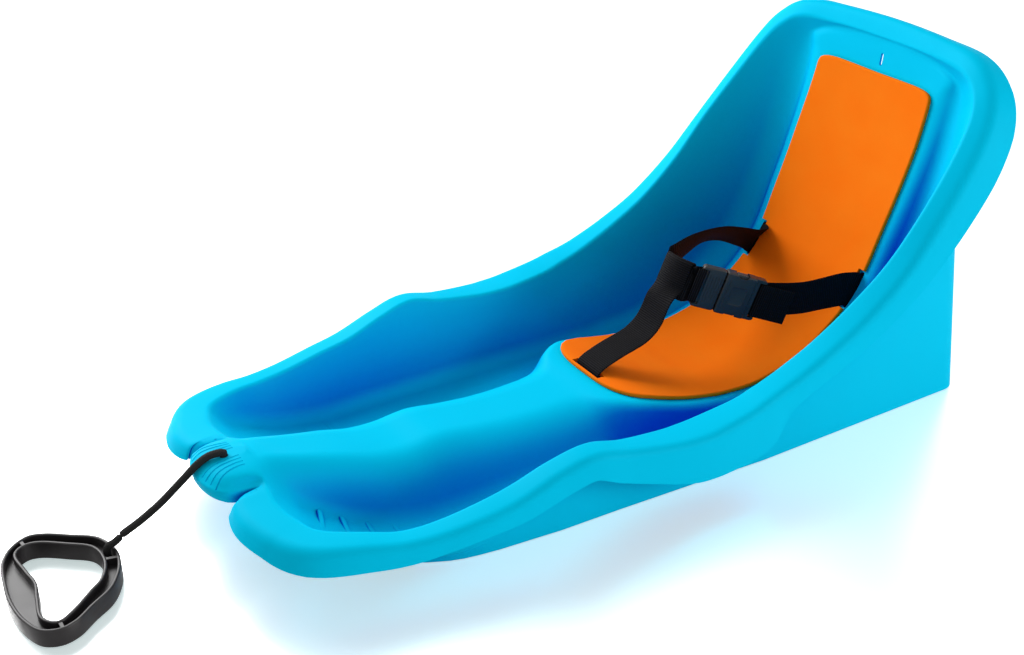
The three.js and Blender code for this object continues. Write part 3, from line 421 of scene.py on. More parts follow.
def tube_object(name, route, radius, step=0.55, sides=56, strands=10, relief=0.42, closed=False, sizes=None):
    """A braided tube along a route. An open one has round ends, and sizes fits it into a box."""
    line, run = curve_points(route, step, closed)
    if closed:
        line, run = line[:-1], run[:-1]
    count = len(line)
    ways = np.roll(line, -1, axis=0) - np.roll(line, 1, axis=0) if closed else np.gradient(line, axis=0)
    ways /= np.linalg.norm(ways, axis=1)[:, None]
    side = unit(np.cross(ways[0], vec(0.31, 0.2, 0.93)))
    turns = np.arange(sides) / sides * 2 * math.pi
    points, uvs = [], []
    for n, way in enumerate(ways):
        side = unit(side - way * side.dot(way))
        other = np.cross(way, side)
        left = min(run[n], run[-1] - run[n]) if not closed else radius
        cap = math.sqrt(max(0, 1 - (1 - min(left / (radius * 0.8), 1)) ** 2))
        high = braid(turns, np.full(sides, run[n]), radius, strands)
        reach = (radius - relief + relief * high) * max(cap, 0.03)
        spokes = np.cos(turns)[:, None] * side + np.sin(turns)[:, None] * other
        points.append(line[n] + reach[:, None] * spokes)
        uvs.append(np.stack([np.full(sides, run[n] / 2), turns], -1))
    points, uvs = np.concatenate(points), np.concatenate(uvs)
    if sizes is not None:
        low, high = points.min(0), points.max(0)
        centre, size = sizes
        points = (points - (low + high) / 2) * (vec(*size) / (high - low)) + vec(*centre)
    return make_object(name, points, ring_faces(count, sides, closed), black_rope, uvs)


def knot_object(name, centre, size, radius):
    """A closed overhand knot pulled tight to the size of its solid."""
    turns = np.linspace(0, 2 * math.pi, 60, endpoint=False)
    inner = np.array(size) / 2 - radius
    route = np.stack([
        (np.sin(turns) + 2 * np.sin(2 * turns)) / 2.9 * inner[0],
        (np.cos(turns) - 2 * np.cos(2 * turns)) / 2.9 * inner[1],
        -np.sin(3 * turns) * inner[2],
    ], -1)
    return tube_object(name, route, radius, 0.6, 28, 8, 0.3, closed=True, sizes=(centre, size))


def make_rope():
    rope = tube_object("rope", ROPE_ROUTE, ROPE / 2)
    nose = [
        tube_object("nose_knot", [NOSE + vec(0, 0, z) for z in (2.6, 0, -4, -8, -12)], KNOTTED),
        knot_object("nose_tangle", NOSE - vec(0, 0, 13.1), (15, 15, 12), 3),
    ]
    end = [
        tube_object("handle_knot", ROPE_END, KNOTTED),
        knot_object("handle_tangle", (*HANDLE_HOLE, 3.7), (13, 8.05, 6), 1.75),
    ]
    stopper, tail = join("rope_stopper", nose), join("rope_tail", end)
    for piece, node, body in (
        (rope, "pull_rope", "rope"),
        (stopper, "rope_stopper_knot", "sled"),
        (tail, "rope_handle_knot", "handle"),
    ):
        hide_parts(node)
        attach(piece, body)
    path, _ = curve_points(ROPE_ROUTE, 6)


make_rope()


# Sizes of the hull in millimetres, and its shape as shares of them
HALF_WIDTH, LENGTH, HEIGHT, WALL = 197, 811, 355, 3
NOSE_TIP = -317
LIP, SKIRT = 26, 24
# Thousandths. Each row is a rib: five places of three numbers, from the middle outwards
RIB_PLACES = np.array([
    0, 55, 243, 0, 25, 240, 0, 14, 234, 0, 7, 223, 0, 2, 211,
    0, 57, 243, 91, 32, 240, 132, 22, 234, 152, 17, 223, 168, 14, 211,
    0, 59, 243, 94, 57, 237, 173, 53, 225, 183, 52, 214, 193, 51, 206,
    0, 65, 237, 109, 65, 234, 208, 64, 200, 234, 59, 203, 254, 56, 207,
    0, 75, 233, 124, 76, 231, 239, 81, 152, 340, 69, 166, 376, 54, 200,
    0, 88, 224, 135, 90, 223, 249, 96, 113, 457, 79, 140, 497, 61, 193,
    0, 102, 214, 145, 106, 212, 259, 115, 85, 558, 91, 113, 604, 76, 186,
    0, 129, 197, 160, 132, 195, 279, 138, 56, 640, 121, 75, 690, 116, 176,
    0, 160, 178, 180, 163, 175, 310, 165, 31, 665, 153, 39, 741, 152, 163,
    0, 201, 150, 195, 201, 148, 350, 201, 11, 690, 195, 14, 766, 191, 166,
    0, 238, 139, 205, 238, 139, 371, 238, 0, 706, 238, 0, 784, 238, 183,
    0, 280, 148, 200, 280, 148, 376, 280, 0, 711, 280, 0, 787, 280, 201,
    0, 327, 132, 195, 327, 132, 376, 327, 0, 711, 327, 0, 799, 327, 237,
    0, 372, 119, 195, 372, 119, 376, 372, 0, 708, 372, 0, 817, 372, 258,
    0, 418, 114, 200, 418, 114, 381, 418, 0, 706, 418, 0, 817, 418, 232,
    0, 470, 118, 220, 470, 118, 391, 470, 0, 703, 472, 0, 810, 472, 214,
    0, 501, 132, 320, 501, 132, 406, 501, 0, 701, 501, 0, 806, 501, 210,
    0, 531, 127, 396, 534, 124, 457, 534, 0, 695, 531, 0, 805, 531, 212,
    0, 583, 90, 429, 583, 94, 487, 583, 0, 685, 583, 0, 811, 581, 225,
    0, 610, 75, 439, 610, 79, 497, 610, 0, 683, 610, 0, 815, 608, 242,
    0, 633, 65, 447, 633, 70, 503, 633, 0, 680, 633, 0, 816, 628, 256,
    0, 665, 54, 454, 662, 62, 508, 662, 3, 678, 662, 6, 818, 652, 277,
    0, 721, 54, 459, 720, 62, 513, 725, 14, 670, 721, 23, 822, 697, 324,
    0, 795, 99, 459, 792, 113, 523, 800, 73, 660, 794, 93, 824, 748, 393,
    0, 872, 239, 464, 866, 248, 533, 880, 217, 650, 869, 248, 835, 803, 494,
    0, 915, 445, 470, 908, 454, 538, 925, 434, 645, 917, 454, 835, 851, 617,
    0, 947, 642, 475, 941, 651, 538, 954, 637, 645, 946, 654, 807, 900, 745,
    0, 962, 758, 470, 957, 769, 538, 967, 758, 640, 959, 772, 769, 932, 838,
    0, 969, 828, 467, 964, 842, 538, 972, 834, 609, 967, 845, 706, 949, 897,
    0, 972, 873, 482, 968, 890, 513, 972, 893, 548, 969, 901, 589, 960, 936,
    0, 974, 910, 305, 973, 918, 325, 973, 927, 340, 972, 934, 355, 969, 942,
    0, 975, 927, 0, 975, 932, 0, 975, 937, 0, 974, 941, 0, 974, 945,
]).reshape(-1, 5, 3) / 1000
LAST = len(RIB_PLACES) - 1
# Per rib: the ridge's corner round, the lip's width and the skirt's depth, as shares of their sizes
RIDGE_ROUND = [1] * 15 + [0.87, 0.4, 0.3] + [0.27] * 14
LIP_WIDTH = [
    0.15, 0.15, 0.19, 1.17, 1.28, 1.23, 1.16, 1, 0.88, 0.92, 1, 1.04, 0.98, 0.94, 1, 1.27, 1.38, 1.42, 1.31,
    1.21, 1.15, 1.12, 1.06, 1.06, 0.98, 0.87, 0.85, 0.81, 0.77, 0.73, 0.77, 0.77,
]
SKIRT_DEPTH = [
    0.33, 0.38, 0.5, 0.643, 0.733, 0.773, 0.96, 0.92, 0.83, 0.75, 0.75, 0.92, 1, 1, 1.29, 1.67, 1.92, 2.02,
    2.21, 1.92, 1.25, 1, 1.04, 1.13, 1.25, 1.42, 1.5, 1.38, 1.13, 0.83, 0.54, 0.46,
]
# Per rib, in degrees: how far the lip drops outwards, the skirt flares, and both lean back
LIP_DROP = [
    40, 40, 20, 0, 0, 0, 0, 0, 0, 2, 5, 3, 3, 3, 0, 0, 0, 0, -4, -4, -3, 0, 3, 10, 14, 20, 18, 18, 15, 10,
    5, 3,
]
SKIRT_FLARE = [
    -10, -5, 20, 22, 27, 28, 22, 14, 7, 4, 3, 3, 3, 3, 4, 3, 2, 2, 3, 3, 3, 4, 4, 5, 6, 10, 13, 14, 12, 8,
    5, 5,
]
LEAN = [0] * 18 + [5, 8, 10, 13, 20, 28, 40, 50, 58, 64, 68, 70, 70, 70]


def place(share):
    return vec(share[0] * HALF_WIDTH, share[1] * LENGTH + NOSE_TIP, WALL + share[2] * HEIGHT)


RAILS = np.array([[place(rib[n]) for rib in RIB_PLACES] for n in range(5)])


def spline_weights(s, slope=False):
    """What four ribs weigh at s between the middle two, for the curve's place or for its slope."""
    if slope:
        return vec(-3 * s * s + 4 * s - 1, 9 * s * s - 10 * s, -9 * s * s + 8 * s + 1, 3 * s * s - 2 * s) / 2
    return vec(
        -s ** 3 + 2 * s * s - s, 3 * s ** 3 - 5 * s * s + 2, -3 * s ** 3 + 4 * s * s + s, s ** 3 - s * s,
    ) / 2


def along(rail, k, slope=False):
    rib = min(int(k), LAST - 1)
    total = vec(0, 0, 0)
    for n, weight in enumerate(spline_weights(k - rib, slope)):
        wanted = rib - 1 + n
        used = -wanted if wanted < 0 else 2 * LAST - wanted if wanted > LAST else wanted
        flip = 1 if used == wanted else -1
        total += RAILS[rail][used] * vec(flip, 1, 1) * weight
    return total


def between(values, k):
    """Linear between the ribs, as the solid has it, with the corners at each rib rounded off."""
    def plain(at):
        at = min(max(at, 0), LAST)
        rib = min(int(at), LAST - 1)
        return values[rib] + (values[rib + 1] - values[rib]) * (at - rib)
    return (plain(k - 0.3) + 2 * plain(k) + plain(k + 0.3)) / 4 if 1 < k < LAST - 1 else plain(k)


def rib_corners(k):
    corners = [along(rail, k) for rail in range(5)]
    for corner in corners:
        corner[2] = max(corner[2], WALL)
    run = unit(along(4, k, True))
    lean = rad(between(LEAN, k))
    out = unit(np.cross(run, vec(0, -math.sin(lean), math.cos(lean))))
    up = unit(np.cross(out, run))
    drop, flare = rad(between(LIP_DROP, k)), rad(between(SKIRT_FLARE, k))
    lip, skirt = between(LIP_WIDTH, k) * LIP, between(SKIRT_DEPTH, k) * SKIRT
    edge = corners[4] + out * lip * math.cos(drop) - up * lip * math.sin(drop)
    hem = edge - up * skirt * math.cos(flare) + out * skirt * math.sin(flare)
    return [*corners, edge, hem]


ROUNDS = (30, 14, 14, 4, 9)  # how far each corner's round reaches along its sides
ROUND_POINTS = (9, 7, 7, 6, 8)
STRAIGHT_POINTS = (6, 2, 1, 5, 1, 2)


def toward(corner, other, size):
    """The point at this distance from a corner, at most halfway to the other one."""
    return corner + (other - corner) * min(size / max(np.linalg.norm(corner - other), 1e-6), 0.5)


def rib_outline(k):
    corners = rib_corners(k)
    outline = []
    last = corners[0]
    for n, size in enumerate(ROUNDS):
        before, corner, after = corners[n:n + 3]
        if n == 0:
            size *= between(RIDGE_ROUND, k)
        start, end = toward(corner, before, size), toward(corner, after, size)
        for i in range(STRAIGHT_POINTS[n]):
            t = i / STRAIGHT_POINTS[n]
            p = last + (start - last) * t
            if n == 0:
                # The ledge is hollow: it rises to a quarter halfway to its shoulder
                rise = t / 2 if t <= 0.5 else 0.25 + (t - 0.5) * 1.5
                p[1:] = (last + (start - last) * (0.35 * rise + 0.65 * (t * t)))[1:]
            outline.append(p)
        for i in range(ROUND_POINTS[n]):
            t = i / (ROUND_POINTS[n] - 1)
            first = start + (corner - start) * t
            second = corner + (end - corner) * t
            outline.append(first + (second - first) * t)
        last = end
    steps = STRAIGHT_POINTS[5]
    outline += [last + (corners[6] - last) * i / steps for i in range(1, steps + 1)]
    return np.array(outline)


STEP = 0.125
STATIONS = np.arange(0, LAST + STEP / 2, STEP)
OUTLINES = np.array([rib_outline(k) for k in STATIONS])


# Hull
SAME_PLACE, NO_LENGTH = 0.00002, 0.00001  # metres


def skin_object():
    """The visible skin of both halves. Points in the middle plane belong to both."""
    rows, columns, _ = OUTLINES.shape
    points = np.concatenate([OUTLINES.reshape(-1, 3), (OUTLINES * vec(-1, 1, 1)).reshape(-1, 3)])
    i, j = np.meshgrid(np.arange(rows - 1), np.arange(columns - 1), indexing="ij")
    a = (i * columns + j).ravel()
    near = np.stack([a, a + 1, a + columns + 1, a + columns], -1)
    far = near[:, ::-1] + rows * columns
    thing = make_object("hull_shell", points, np.concatenate([near, far]))
    work = bmesh.new()
    work.from_mesh(thing.data)
    bmesh.ops.remove_doubles(work, verts=work.verts, dist=SAME_PLACE)
    bmesh.ops.dissolve_degenerate(work, edges=work.edges, dist=NO_LENGTH)
    work.to_mesh(thing.data)
    work.free()
    return thing


def skin_tree(skin):
    work = bmesh.new()
    work.from_mesh(skin.data)
    tree = BVHTree.FromBMesh(work)
    work.free()
    return tree


STAND_HALF, STAND_FRONT, STAND_REAR, STAND_ROUND = 166, -169, 472, 22
STAND_LEAN, STAND_TOP = rad(4), 300
STAND_SHARES = [
    [0.741, 0], [0.78, 0.018], [0.826, 0.043], [0.851, 0.063], [0.868, 0.085], [0.886, 0.115],
    [0.909, 0.178], [0.922, 0.212], [0.937, 0.312], [0.952, 0.381], [0.967, 0.452], [0.994, 0.573],
]


def stand_plan(height, inset):
    lean = math.tan(STAND_LEAN) * height + inset
    length = STAND_REAR - STAND_FRONT
    half = [(x * STAND_HALF - lean, STAND_FRONT + y * length) for x, y in STAND_SHARES]
    reach = STAND_ROUND - inset
    side, rear = STAND_HALF - lean - reach, STAND_REAR - lean - reach
    for i in range(13):
        turn = i / 12 * math.pi / 2
        half.append((side + reach * math.cos(turn), rear + reach * math.sin(turn)))
    return half + [(-x, y) for x, y in half][::-1]


def stand_object(tree):
    """The wall under the rear, from the ground up to the middle of the hull's own wall."""
    loops = [[stand_plan(height, inset) for height in (0, STAND_TOP)] for inset in (0, WALL)]
    sections = []
    spans = len(loops[0][0]) - 1
    for n in range(spans):
        (x0, y0), (x1, y1) = loops[0][0][n:n + 2]
        steps = max(1, round(math.hypot(x1 - x0, y1 - y0) / 4))
        for i in range(steps + (n == spans - 1)):
            t = i / steps
            sides = []
            for side in loops:
                low, high = [vec(*loop[n], 0) * (1 - t) + vec(*loop[n + 1], 0) * t for loop in side]
                high[2] = STAND_TOP
                start = Vector(low * MM) - Vector((0, 0, 0.02))
                hit = tree.ray_cast(start, Vector((high - low) * MM).normalized(), 0.4)[0]
                top = vec(*hit) / MM + unit(high - low) * -1.2 if hit is not None else high
                if top[2] < 0.5:
                    top = low + unit(high - low) * 0.5
                sides.append((low, top))
            (low, top), (inner_low, inner_top) = sides
            sections.append((low, top, inner_top, inner_low))
    points, faces = np.concatenate(sections), ring_faces(len(sections), 4)
    return face_outwards(make_object("hull_stand", points, faces))


def on_skin(k, x):
    """A point on the skin near its middle, at rib number k and x from the middle plane."""
    at = min(max(k / STEP, 0), len(STATIONS) - 1.001)
    row, t = int(at), at - int(at)
    found = []
    for outline in OUTLINES[row:row + 2]:
        j = max(int(np.argmax(outline[:, 0] > abs(x))), 1)
        a, b = outline[j - 1], outline[j]
        found.append(a + (b - a) * ((abs(x) - a[0]) / max(b[0] - a[0], 1e-6)))
    p = found[0] + (found[1] - found[0]) * t
    return vec(x, p[1], p[2])


def seat_frame(k, x):
    """A place on the seat, with the way along the hull there and the way out of the skin."""
    run = unit(on_skin(k + 0.25, x) - on_skin(k - 0.25, x))
    across = unit(on_skin(k, x + 1.6) - on_skin(k, x - 1.6))
    return on_skin(k, x), run, unit(np.cross(across, run))


CROTCH_RIB, LAP_RIB, LAP_ACROSS, HANG_RIB = 16.56, 24.1, 77, 29.1
SLOT_LONG, SLOT_WIDE, CUT_DEPTH, CUT_ROUND = 42, 5.5, 24, 1.6


def cut_box(k, x, width, length):
    at, run, _ = seat_frame(k, x)
    return (width, length, CUT_DEPTH), at_matrix(at, vec(1, 0, 0), unit(vec(0, run[1], run[2])))


def slot_boxes(margin):
    """Boxes for the crotch strap's slot and the two lap belts'."""
    long, wide = SLOT_LONG + 2 * margin, SLOT_WIDE + 2 * margin
    laps = [cut_box(LAP_RIB, x, wide, long) for x in (-LAP_ACROSS, LAP_ACROSS)]
    return [cut_box(CROTCH_RIB, 0, long, wide), *laps]


def cutters():
    """All the holes in the hull: three slots, the slit to hang it by and the rope's hole."""
    thing = boxes_object("cutters", [*slot_boxes(0), cut_box(HANG_RIB, 0, 3.4, 13)])
    bevel(thing, CUT_ROUND)
    return join("cutters", [thing, cylinder_object("rope_hole", 4, CUT_DEPTH, NOSE, vec(0, 0, 1), 40)])


TREAD_RIBS = (5.9, 6.9, 7.9, 8.7, 9.6)
TREAD_SHARE, TREAD_WIDE, TREAD_THICK, TREAD_SUNK = 0.85, 5, 3.1, 1.15


def treads():
    boxes = []
    for side in (1, -1):
        for k in TREAD_RIBS:
            inner, outer = along(2, k), along(3, k)
            run = along(2, k, True)
            middle = (inner + outer) / 2
            size = (np.linalg.norm(outer - inner) * TREAD_SHARE, TREAD_WIDE, TREAD_THICK)
            turn = Matrix.Rotation(math.atan2(outer[1] - inner[1], outer[0] - inner[0]) * side, 4, "Z")
            tilt = Matrix.Rotation(math.atan2(run[2], run[1]), 4, "X")
            lift = Matrix.Translation(Vector((0, 0, -TREAD_SUNK * MM)))
            spot = Matrix.Translation(Vector((middle[0] * side, middle[1], middle[2])) * MM)
            boxes.append((size, spot @ turn @ tilt @ lift))
    thing = boxes_object("treads", boxes)
    bevel(thing, 1.4, 4)
    return thing


GROOVE_LANES = (7, 11.6, 16.2, 20.8)


def groove_tubes(tree):
    """Fine moulded grooves on the nose, which run forwards past the rope's hole and spread."""
    tubes = []
    for side in (1, -1):
        for lane in GROOVE_LANES:
            route = []
            for t in np.linspace(0, 1, 19):
                x = lane + 0.026 * lane * lane * t * t
                above = Vector((x * side, -278 - 37 * t, 200)) * MM
                hit = tree.ray_cast(above, Vector((0, 0, -1)), 0.15)[0]
                if hit is not None:
                    route.append(vec(*hit) / MM + vec(0, 0, 0.55 - 0.25 * math.sin(t * math.pi)))
            tubes.append(tube_object("groove", route, 1, 1, 10, relief=0))
    return join("grooves", tubes)


def make_hull():
    skin = skin_object()
    tree = skin_tree(skin)
    stand = stand_object(tree)
    solid = skin.modifiers.new("wall", "SOLIDIFY")
    solid.thickness = WALL * MM
    solid.offset = -1
    apply_modifiers(skin)
    places = np.zeros(len(skin.data.vertices) * 3)
    skin.data.vertices.foreach_get("co", places)
    places[2::3] = np.maximum(places[2::3], 0)
    skin.data.vertices.foreach_set("co", places)
    boolean(skin, stand, "UNION")
    boolean(skin, treads(), "UNION")
    boolean(skin, cutters())
    boolean(skin, groove_tubes(tree))
    dress(skin, hull_plastic, 40)
    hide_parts("hull")
    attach(skin, "sled")


make_hull()


# Seat pad: a foam sheet on the ledge, with rounded rims and three slots
PAD_START, PAD_END = 16.27, 28.2  # rib numbers
PAD_FRONT, PAD_BACK = 1.6, 0.7  # how many ribs its rounded ends take up
PAD_POWER = 3.5
PAD_INSET, PAD_SLOT_MARGIN = 10.5, 1.6
PAD_LOW, PAD_HIGH, LOW_ROUND, TOP_ROUND = 0.5, 4.5, 0.7, 1.7
PAD_TURNS = np.radians([4, 5.5, 7.5, 10, 13, 17, 22, 28, 35, 43, 52, 62, 74, 86])
PAD_MARGINS = np.array([0, 0.12, 0.45, 0.95, 1.6, 2.6])


def pad_share(k):
    """How wide the pad is at a rib, as a share of its full width there."""
    depth = min(max((k - PAD_START) / PAD_FRONT, 0), max((PAD_END - k) / PAD_BACK, 0), 1)
    return (1 - (1 - depth) ** PAD_POWER) ** (1 / PAD_POWER)


def pad_rows():
    inset = 1 - np.cos(PAD_TURNS) ** (2 / PAD_POWER)
    front, back = [PAD_START + PAD_FRONT * t for t in inset], [PAD_END - PAD_BACK * t for t in inset]
    return sorted(k for k in [*front, *np.arange(17.8, 27.5, 0.14), *back] if front[0] <= k <= back[0])


def fallen(away, radius):
    """How far a rounded rim has fallen, at each distance from its edge."""
    return radius - np.sqrt(np.maximum(radius ** 2 - (radius - np.minimum(away, radius)) ** 2, 0))


def make_pad():
    rows = pad_rows()
    spots, flat = [], []
    for k, run in zip(rows, path_lengths([seat_frame(k, 0)[0] for k in rows])):
        half = (along(1, k)[0] - PAD_INSET) * pad_share(k)
        edge = np.minimum(PAD_MARGINS, half * 0.4 * PAD_MARGINS / PAD_MARGINS[-1])
        reach = half - edge[-1]
        for x in np.concatenate([-half + edge, np.linspace(-reach, reach, 40)[1:-1], (half - edge)[::-1]]):
            at, _, out = seat_frame(k, x)
            spots.append((at, out))
            flat.append((x, run))
    flat, spots = np.array(flat), np.array(spots)
    count = len(flat)
    wide = count // len(rows)
    right, left = np.arange(1, len(rows)) * wide + wide - 1, np.arange(len(rows) - 2, 0, -1) * wide
    loop = np.concatenate([np.arange(wide), right, np.arange(count - wide, count)[::-1][1:], left])
    after = np.roll(loop, -1)
    a, way = flat[loop], flat[after] - flat[loop]
    share = np.clip(((flat[:, None] - a) * way).sum(-1) / np.maximum((way ** 2).sum(-1), 1e-9), 0, 1)
    away = np.linalg.norm(a + share[..., None] * way - flat[:, None], axis=-1).min(1)
    at, out = spots[:, 0], spots[:, 1]
    low = at + out * (PAD_LOW + fallen(away, LOW_ROUND))[:, None]
    high = at + out * (PAD_HIGH - fallen(away, TOP_ROUND))[:, None]
    grid = np.arange(count).reshape(len(rows), wide)
    quads = np.stack([grid[:-1, :-1], grid[:-1, 1:], grid[1:, 1:], grid[1:, :-1]], -1).reshape(-1, 4)
    rim = np.stack([loop, after, after + count, loop + count], -1)
    points, faces = np.concatenate([low, high]), np.concatenate([quads[:, ::-1], quads + count, rim])
    pad = make_object("pad", points, faces)
    boolean(pad, boxes_object("pad_slots", slot_boxes(PAD_SLOT_MARGIN)))
    dress(pad, orange_foam, 38)
    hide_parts("seat_pad")
    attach(pad, "sled")


make_pad()


# Webbing
STRAP, THICK, SPARE = 38, 1.6, 0.4
STRAP_STEP = 1.2
STOP_RADIUS, BAR_RADIUS = 3, 2
STOP_GAP = 1.3
# One face of the strap's section, as shares of half its width and half its thickness
STRAP_TOP = [
    (-1.0, -0.2), (-0.985, 0.6), (-0.95, 0.93), (-0.85, 1), *((w, 1) for w in np.linspace(-0.7, 0.7, 9)),
    (0.85, 1), (0.95, 0.93), (0.985, 0.6), (1.0, 0.2),
]
STRAP_RING = STRAP_TOP + [(-w, -level) for w, level in STRAP_TOP]


def station(at, across, sag=(0, 0, 0), slanted=0.0):
    """A place on a strap's route, the way across there, how the middle sags and whether it slants."""
    return np.concatenate([at, unit(across), sag, [slanted]])


def webbing(name, path):
    """A strap through stations, with rounded edges. U is the way along it and V the way across."""
    line, run = curve_points(np.array(path), STRAP_STEP)
    places = line[:, :3]
    ways = np.gradient(places, axis=0)
    ways /= np.maximum(np.linalg.norm(ways, axis=1), 1e-9)[:, None]
    points, uvs = [], []
    for n in range(len(line)):
        across, sag, slanted = line[n, 3:6], line[n, 6:9], line[n, 9]
        wide = unit(across - ways[n] * across.dot(ways[n]) * (1 - slanted))
        out = unit(np.cross(ways[n], wide))
        for w, level in STRAP_RING:
            points.append(places[n] + wide * (w * STRAP / 2) + sag * (w * w) + out * (level * THICK / 2))
            uvs.append((run[n], w * STRAP / 2))
    faces = ring_faces(len(line), len(STRAP_RING))
    strap = face_outwards(make_object(name, points, faces, black_webbing, uvs))
    shade(strap, 50)
    return strap


def turned(centre, u, v, radius, start, end, across, sag=(0, 0, 0)):
    """Stations round a bar, from one angle to another."""
    out = []
    for n in range(11):
        turn = rad(start + (end - start) * n / 10)
        at = centre + u * (radius * math.cos(turn)) + v * (radius * math.sin(turn))
        out.append(station(at, across, sag))
    return out


def anchor(k, x, inwards, along_slot):
    """A stop bar's middle and way, and the strap's route from behind the bar to its slot's mouth."""
    at, _, out = seat_frame(k, x)
    reach = STOP_RADIUS + SPARE + THICK / 2
    centre = at - out * (WALL + STOP_GAP + STOP_RADIUS) + inwards * reach
    mouth = station(at + out * PAD_HIGH, along_slot)
    wrap = turned(centre, -inwards, -out, reach, 0, 190, along_slot)
    return centre, along_slot, [mouth, *wrap][::-1]


def lap_anchor(side):
    x = side * LAP_ACROSS
    return anchor(LAP_RIB, x, vec(-side, 0, 0), seat_frame(LAP_RIB, x)[1])


ANCHORS = {
    "strap_stop_left": lap_anchor(-1),
    "strap_stop_right": lap_anchor(1),
    "strap_stop_crotch": anchor(CROTCH_RIB, 0, seat_frame(CROTCH_RIB, 0)[1], vec(1, 0, 0)),
}

# The buckle's place and its axes: X from plug to socket, Y across the webbing and Z out of it
YAW, PITCH = rad(61.8), rad(-17.5)
BX = vec(math.cos(PITCH) * math.cos(YAW), math.cos(PITCH) * math.sin(YAW), math.sin(PITCH))
BY = vec(-math.sin(PITCH) * math.cos(YAW), -math.sin(PITCH) * math.sin(YAW), math.cos(PITCH))
BZ = np.cross(BX, BY)
BUCKLE = place((0.119, 0.6628, 0.35))
BAR_REACH = BAR_RADIUS + SPARE + THICK / 2
SOCKET_BAR = 66.5


def on_buckle(x, y, z):
    return BUCKLE + BX * x + BY * y + BZ * z


LEFT_BELT = [
    [-0.355, 0.861, 0.279], [-0.318, 0.834, 0.307], [-0.281, 0.798, 0.346], [-0.237, 0.756, 0.377],
    [-0.193, 0.715, 0.383], [-0.152, 0.678, 0.375],
]
LEFT_ACROSS = [
    [0.42, 0.51, 0.75], [0.64, 0.49, 0.59], [0.71, 0.41, 0.57], [0.66, 0.29, 0.7],
    [0.48, 0.12, 0.87], [0.2, 0.25, 0.94],
]
RIGHT_BELT = [[0.294, 0.756, 0.286], [0.335, 0.793, 0.276], [0.365, 0.827, 0.278], [0.386, 0.853, 0.279]]
RIGHT_ACROSS = [[0.13, 0.28, 0.95], [0.1, 0.32, 0.94], [0.07, 0.4, 0.9], [0.02, 0.52, 0.85]]
CROTCH_STRAP = [
    [0, 0.524, 0.158], [0, 0.536, 0.169], [0, 0.556, 0.183], [0, 0.573, 0.192], [0, 0.589, 0.203],
    [0, 0.602, 0.221], [0, 0.612, 0.246], [0, 0.625, 0.303],
]
# The crotch strap's loop, which the left belt goes through
LOOP_AT = place((-0.01, 0.643, 0.358))
LOOP_UP = unit([0, 0.42, 0.91])
LOOP_SIDE = vec(math.cos(rad(5)), math.sin(rad(5)), 0)
LOOP_FRONT = unit(np.cross(LOOP_SIDE, LOOP_UP))
LOOP_SAG = LOOP_FRONT * -6.5
LOOP_REACH = THICK + 1.3


def in_loop(forward, height, column=0):
    middle = LOOP_AT + LOOP_SIDE * (column * STRAP / 2) + LOOP_SAG * column ** 2
    return middle + LOOP_FRONT * forward + LOOP_UP * height


def on_loop(forward, height):
    return station(in_loop(forward, height), LOOP_SIDE, LOOP_SAG)


def stations(shares, across):
    return [station(place(share), way) for share, way in zip(shares, across)]


def make_belts():
    left_end, right_end, crotch_end = (route for _, _, route in ANCHORS.values())
    inside = [station(in_loop(0, 0, c), LOOP_UP, slanted=1.0) for c in (-1.3, -1, -0.5, 0, 0.5, 1.08)]
    approach = station(on_buckle(-3.2, 0, -BAR_REACH), BY)
    wrap = turned(on_buckle(0, 0, 0), -BZ, BX, BAR_REACH, 0, 180, BY)
    fold = station(on_buckle(-6, 0, BAR_REACH), BY)
    way = stations(LEFT_BELT, LEFT_ACROSS)
    left = webbing("lap_belt_a", [*left_end, *way, *inside, approach, *wrap, fold])

    tail = [station(on_buckle(SOCKET_BAR + x, 0, BAR_REACH), BY) for x in (34, 17)]
    wrap = turned(on_buckle(SOCKET_BAR, 0, 0), BZ, -BX, BAR_REACH, 0, 180, BY)
    way = stations(RIGHT_BELT, RIGHT_ACROSS)
    right = webbing("lap_belt_b", [*tail, *wrap, *way, *right_end[::-1]])

    level = STRAP / 2
    rise = stations(CROTCH_STRAP, [vec(1, 0, 0)] * len(CROTCH_STRAP))
    front = [on_loop(LOOP_REACH, height) for height in (-level / 2, 0)]
    top = turned(in_loop(0, level), LOOP_FRONT, LOOP_UP, LOOP_REACH, 0, 180, LOOP_SIDE, LOOP_SAG)
    rear = [on_loop(-LOOP_REACH, height) for height in (0, -level)]
    crotch = webbing("between_legs", [*crotch_end, *rise, *front, *top, *rear])
    for piece, node in ((left, "lap_belt_left"), (right, "lap_belt_right"), (crotch, "crotch_strap")):
        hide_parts(node)
        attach(piece, "sled")


make_belts()


# Buckle, modelled along its own axes and then put in its place
BUCKLE_HALF, PLUG_HIGH, SOCKET_HIGH = 23.5, 8, 12
BUCKLE_MATRIX = frame_matrix((BX, BY, BZ), BUCKLE * MM)


def plate(name, outline, thickness, centre=0.0, round_by=0.0, segments=3):
    """An outline in the buckle's plane, given a thickness and rounded rims."""
    count = len(outline)
    points = [(x, y, centre + side * thickness / 2) for side in (-1, 1) for x, y in outline]
    faces = [tuple(range(count))[::-1], tuple(range(count, 2 * count))]
    faces += [(i, (i + 1) % count, (i + 1) % count + count, i + count) for i in range(count)]
    thing = face_outwards(make_object(name, points, faces))
    if round_by:
        bevel(thing, round_by, segments, 50)
    return thing


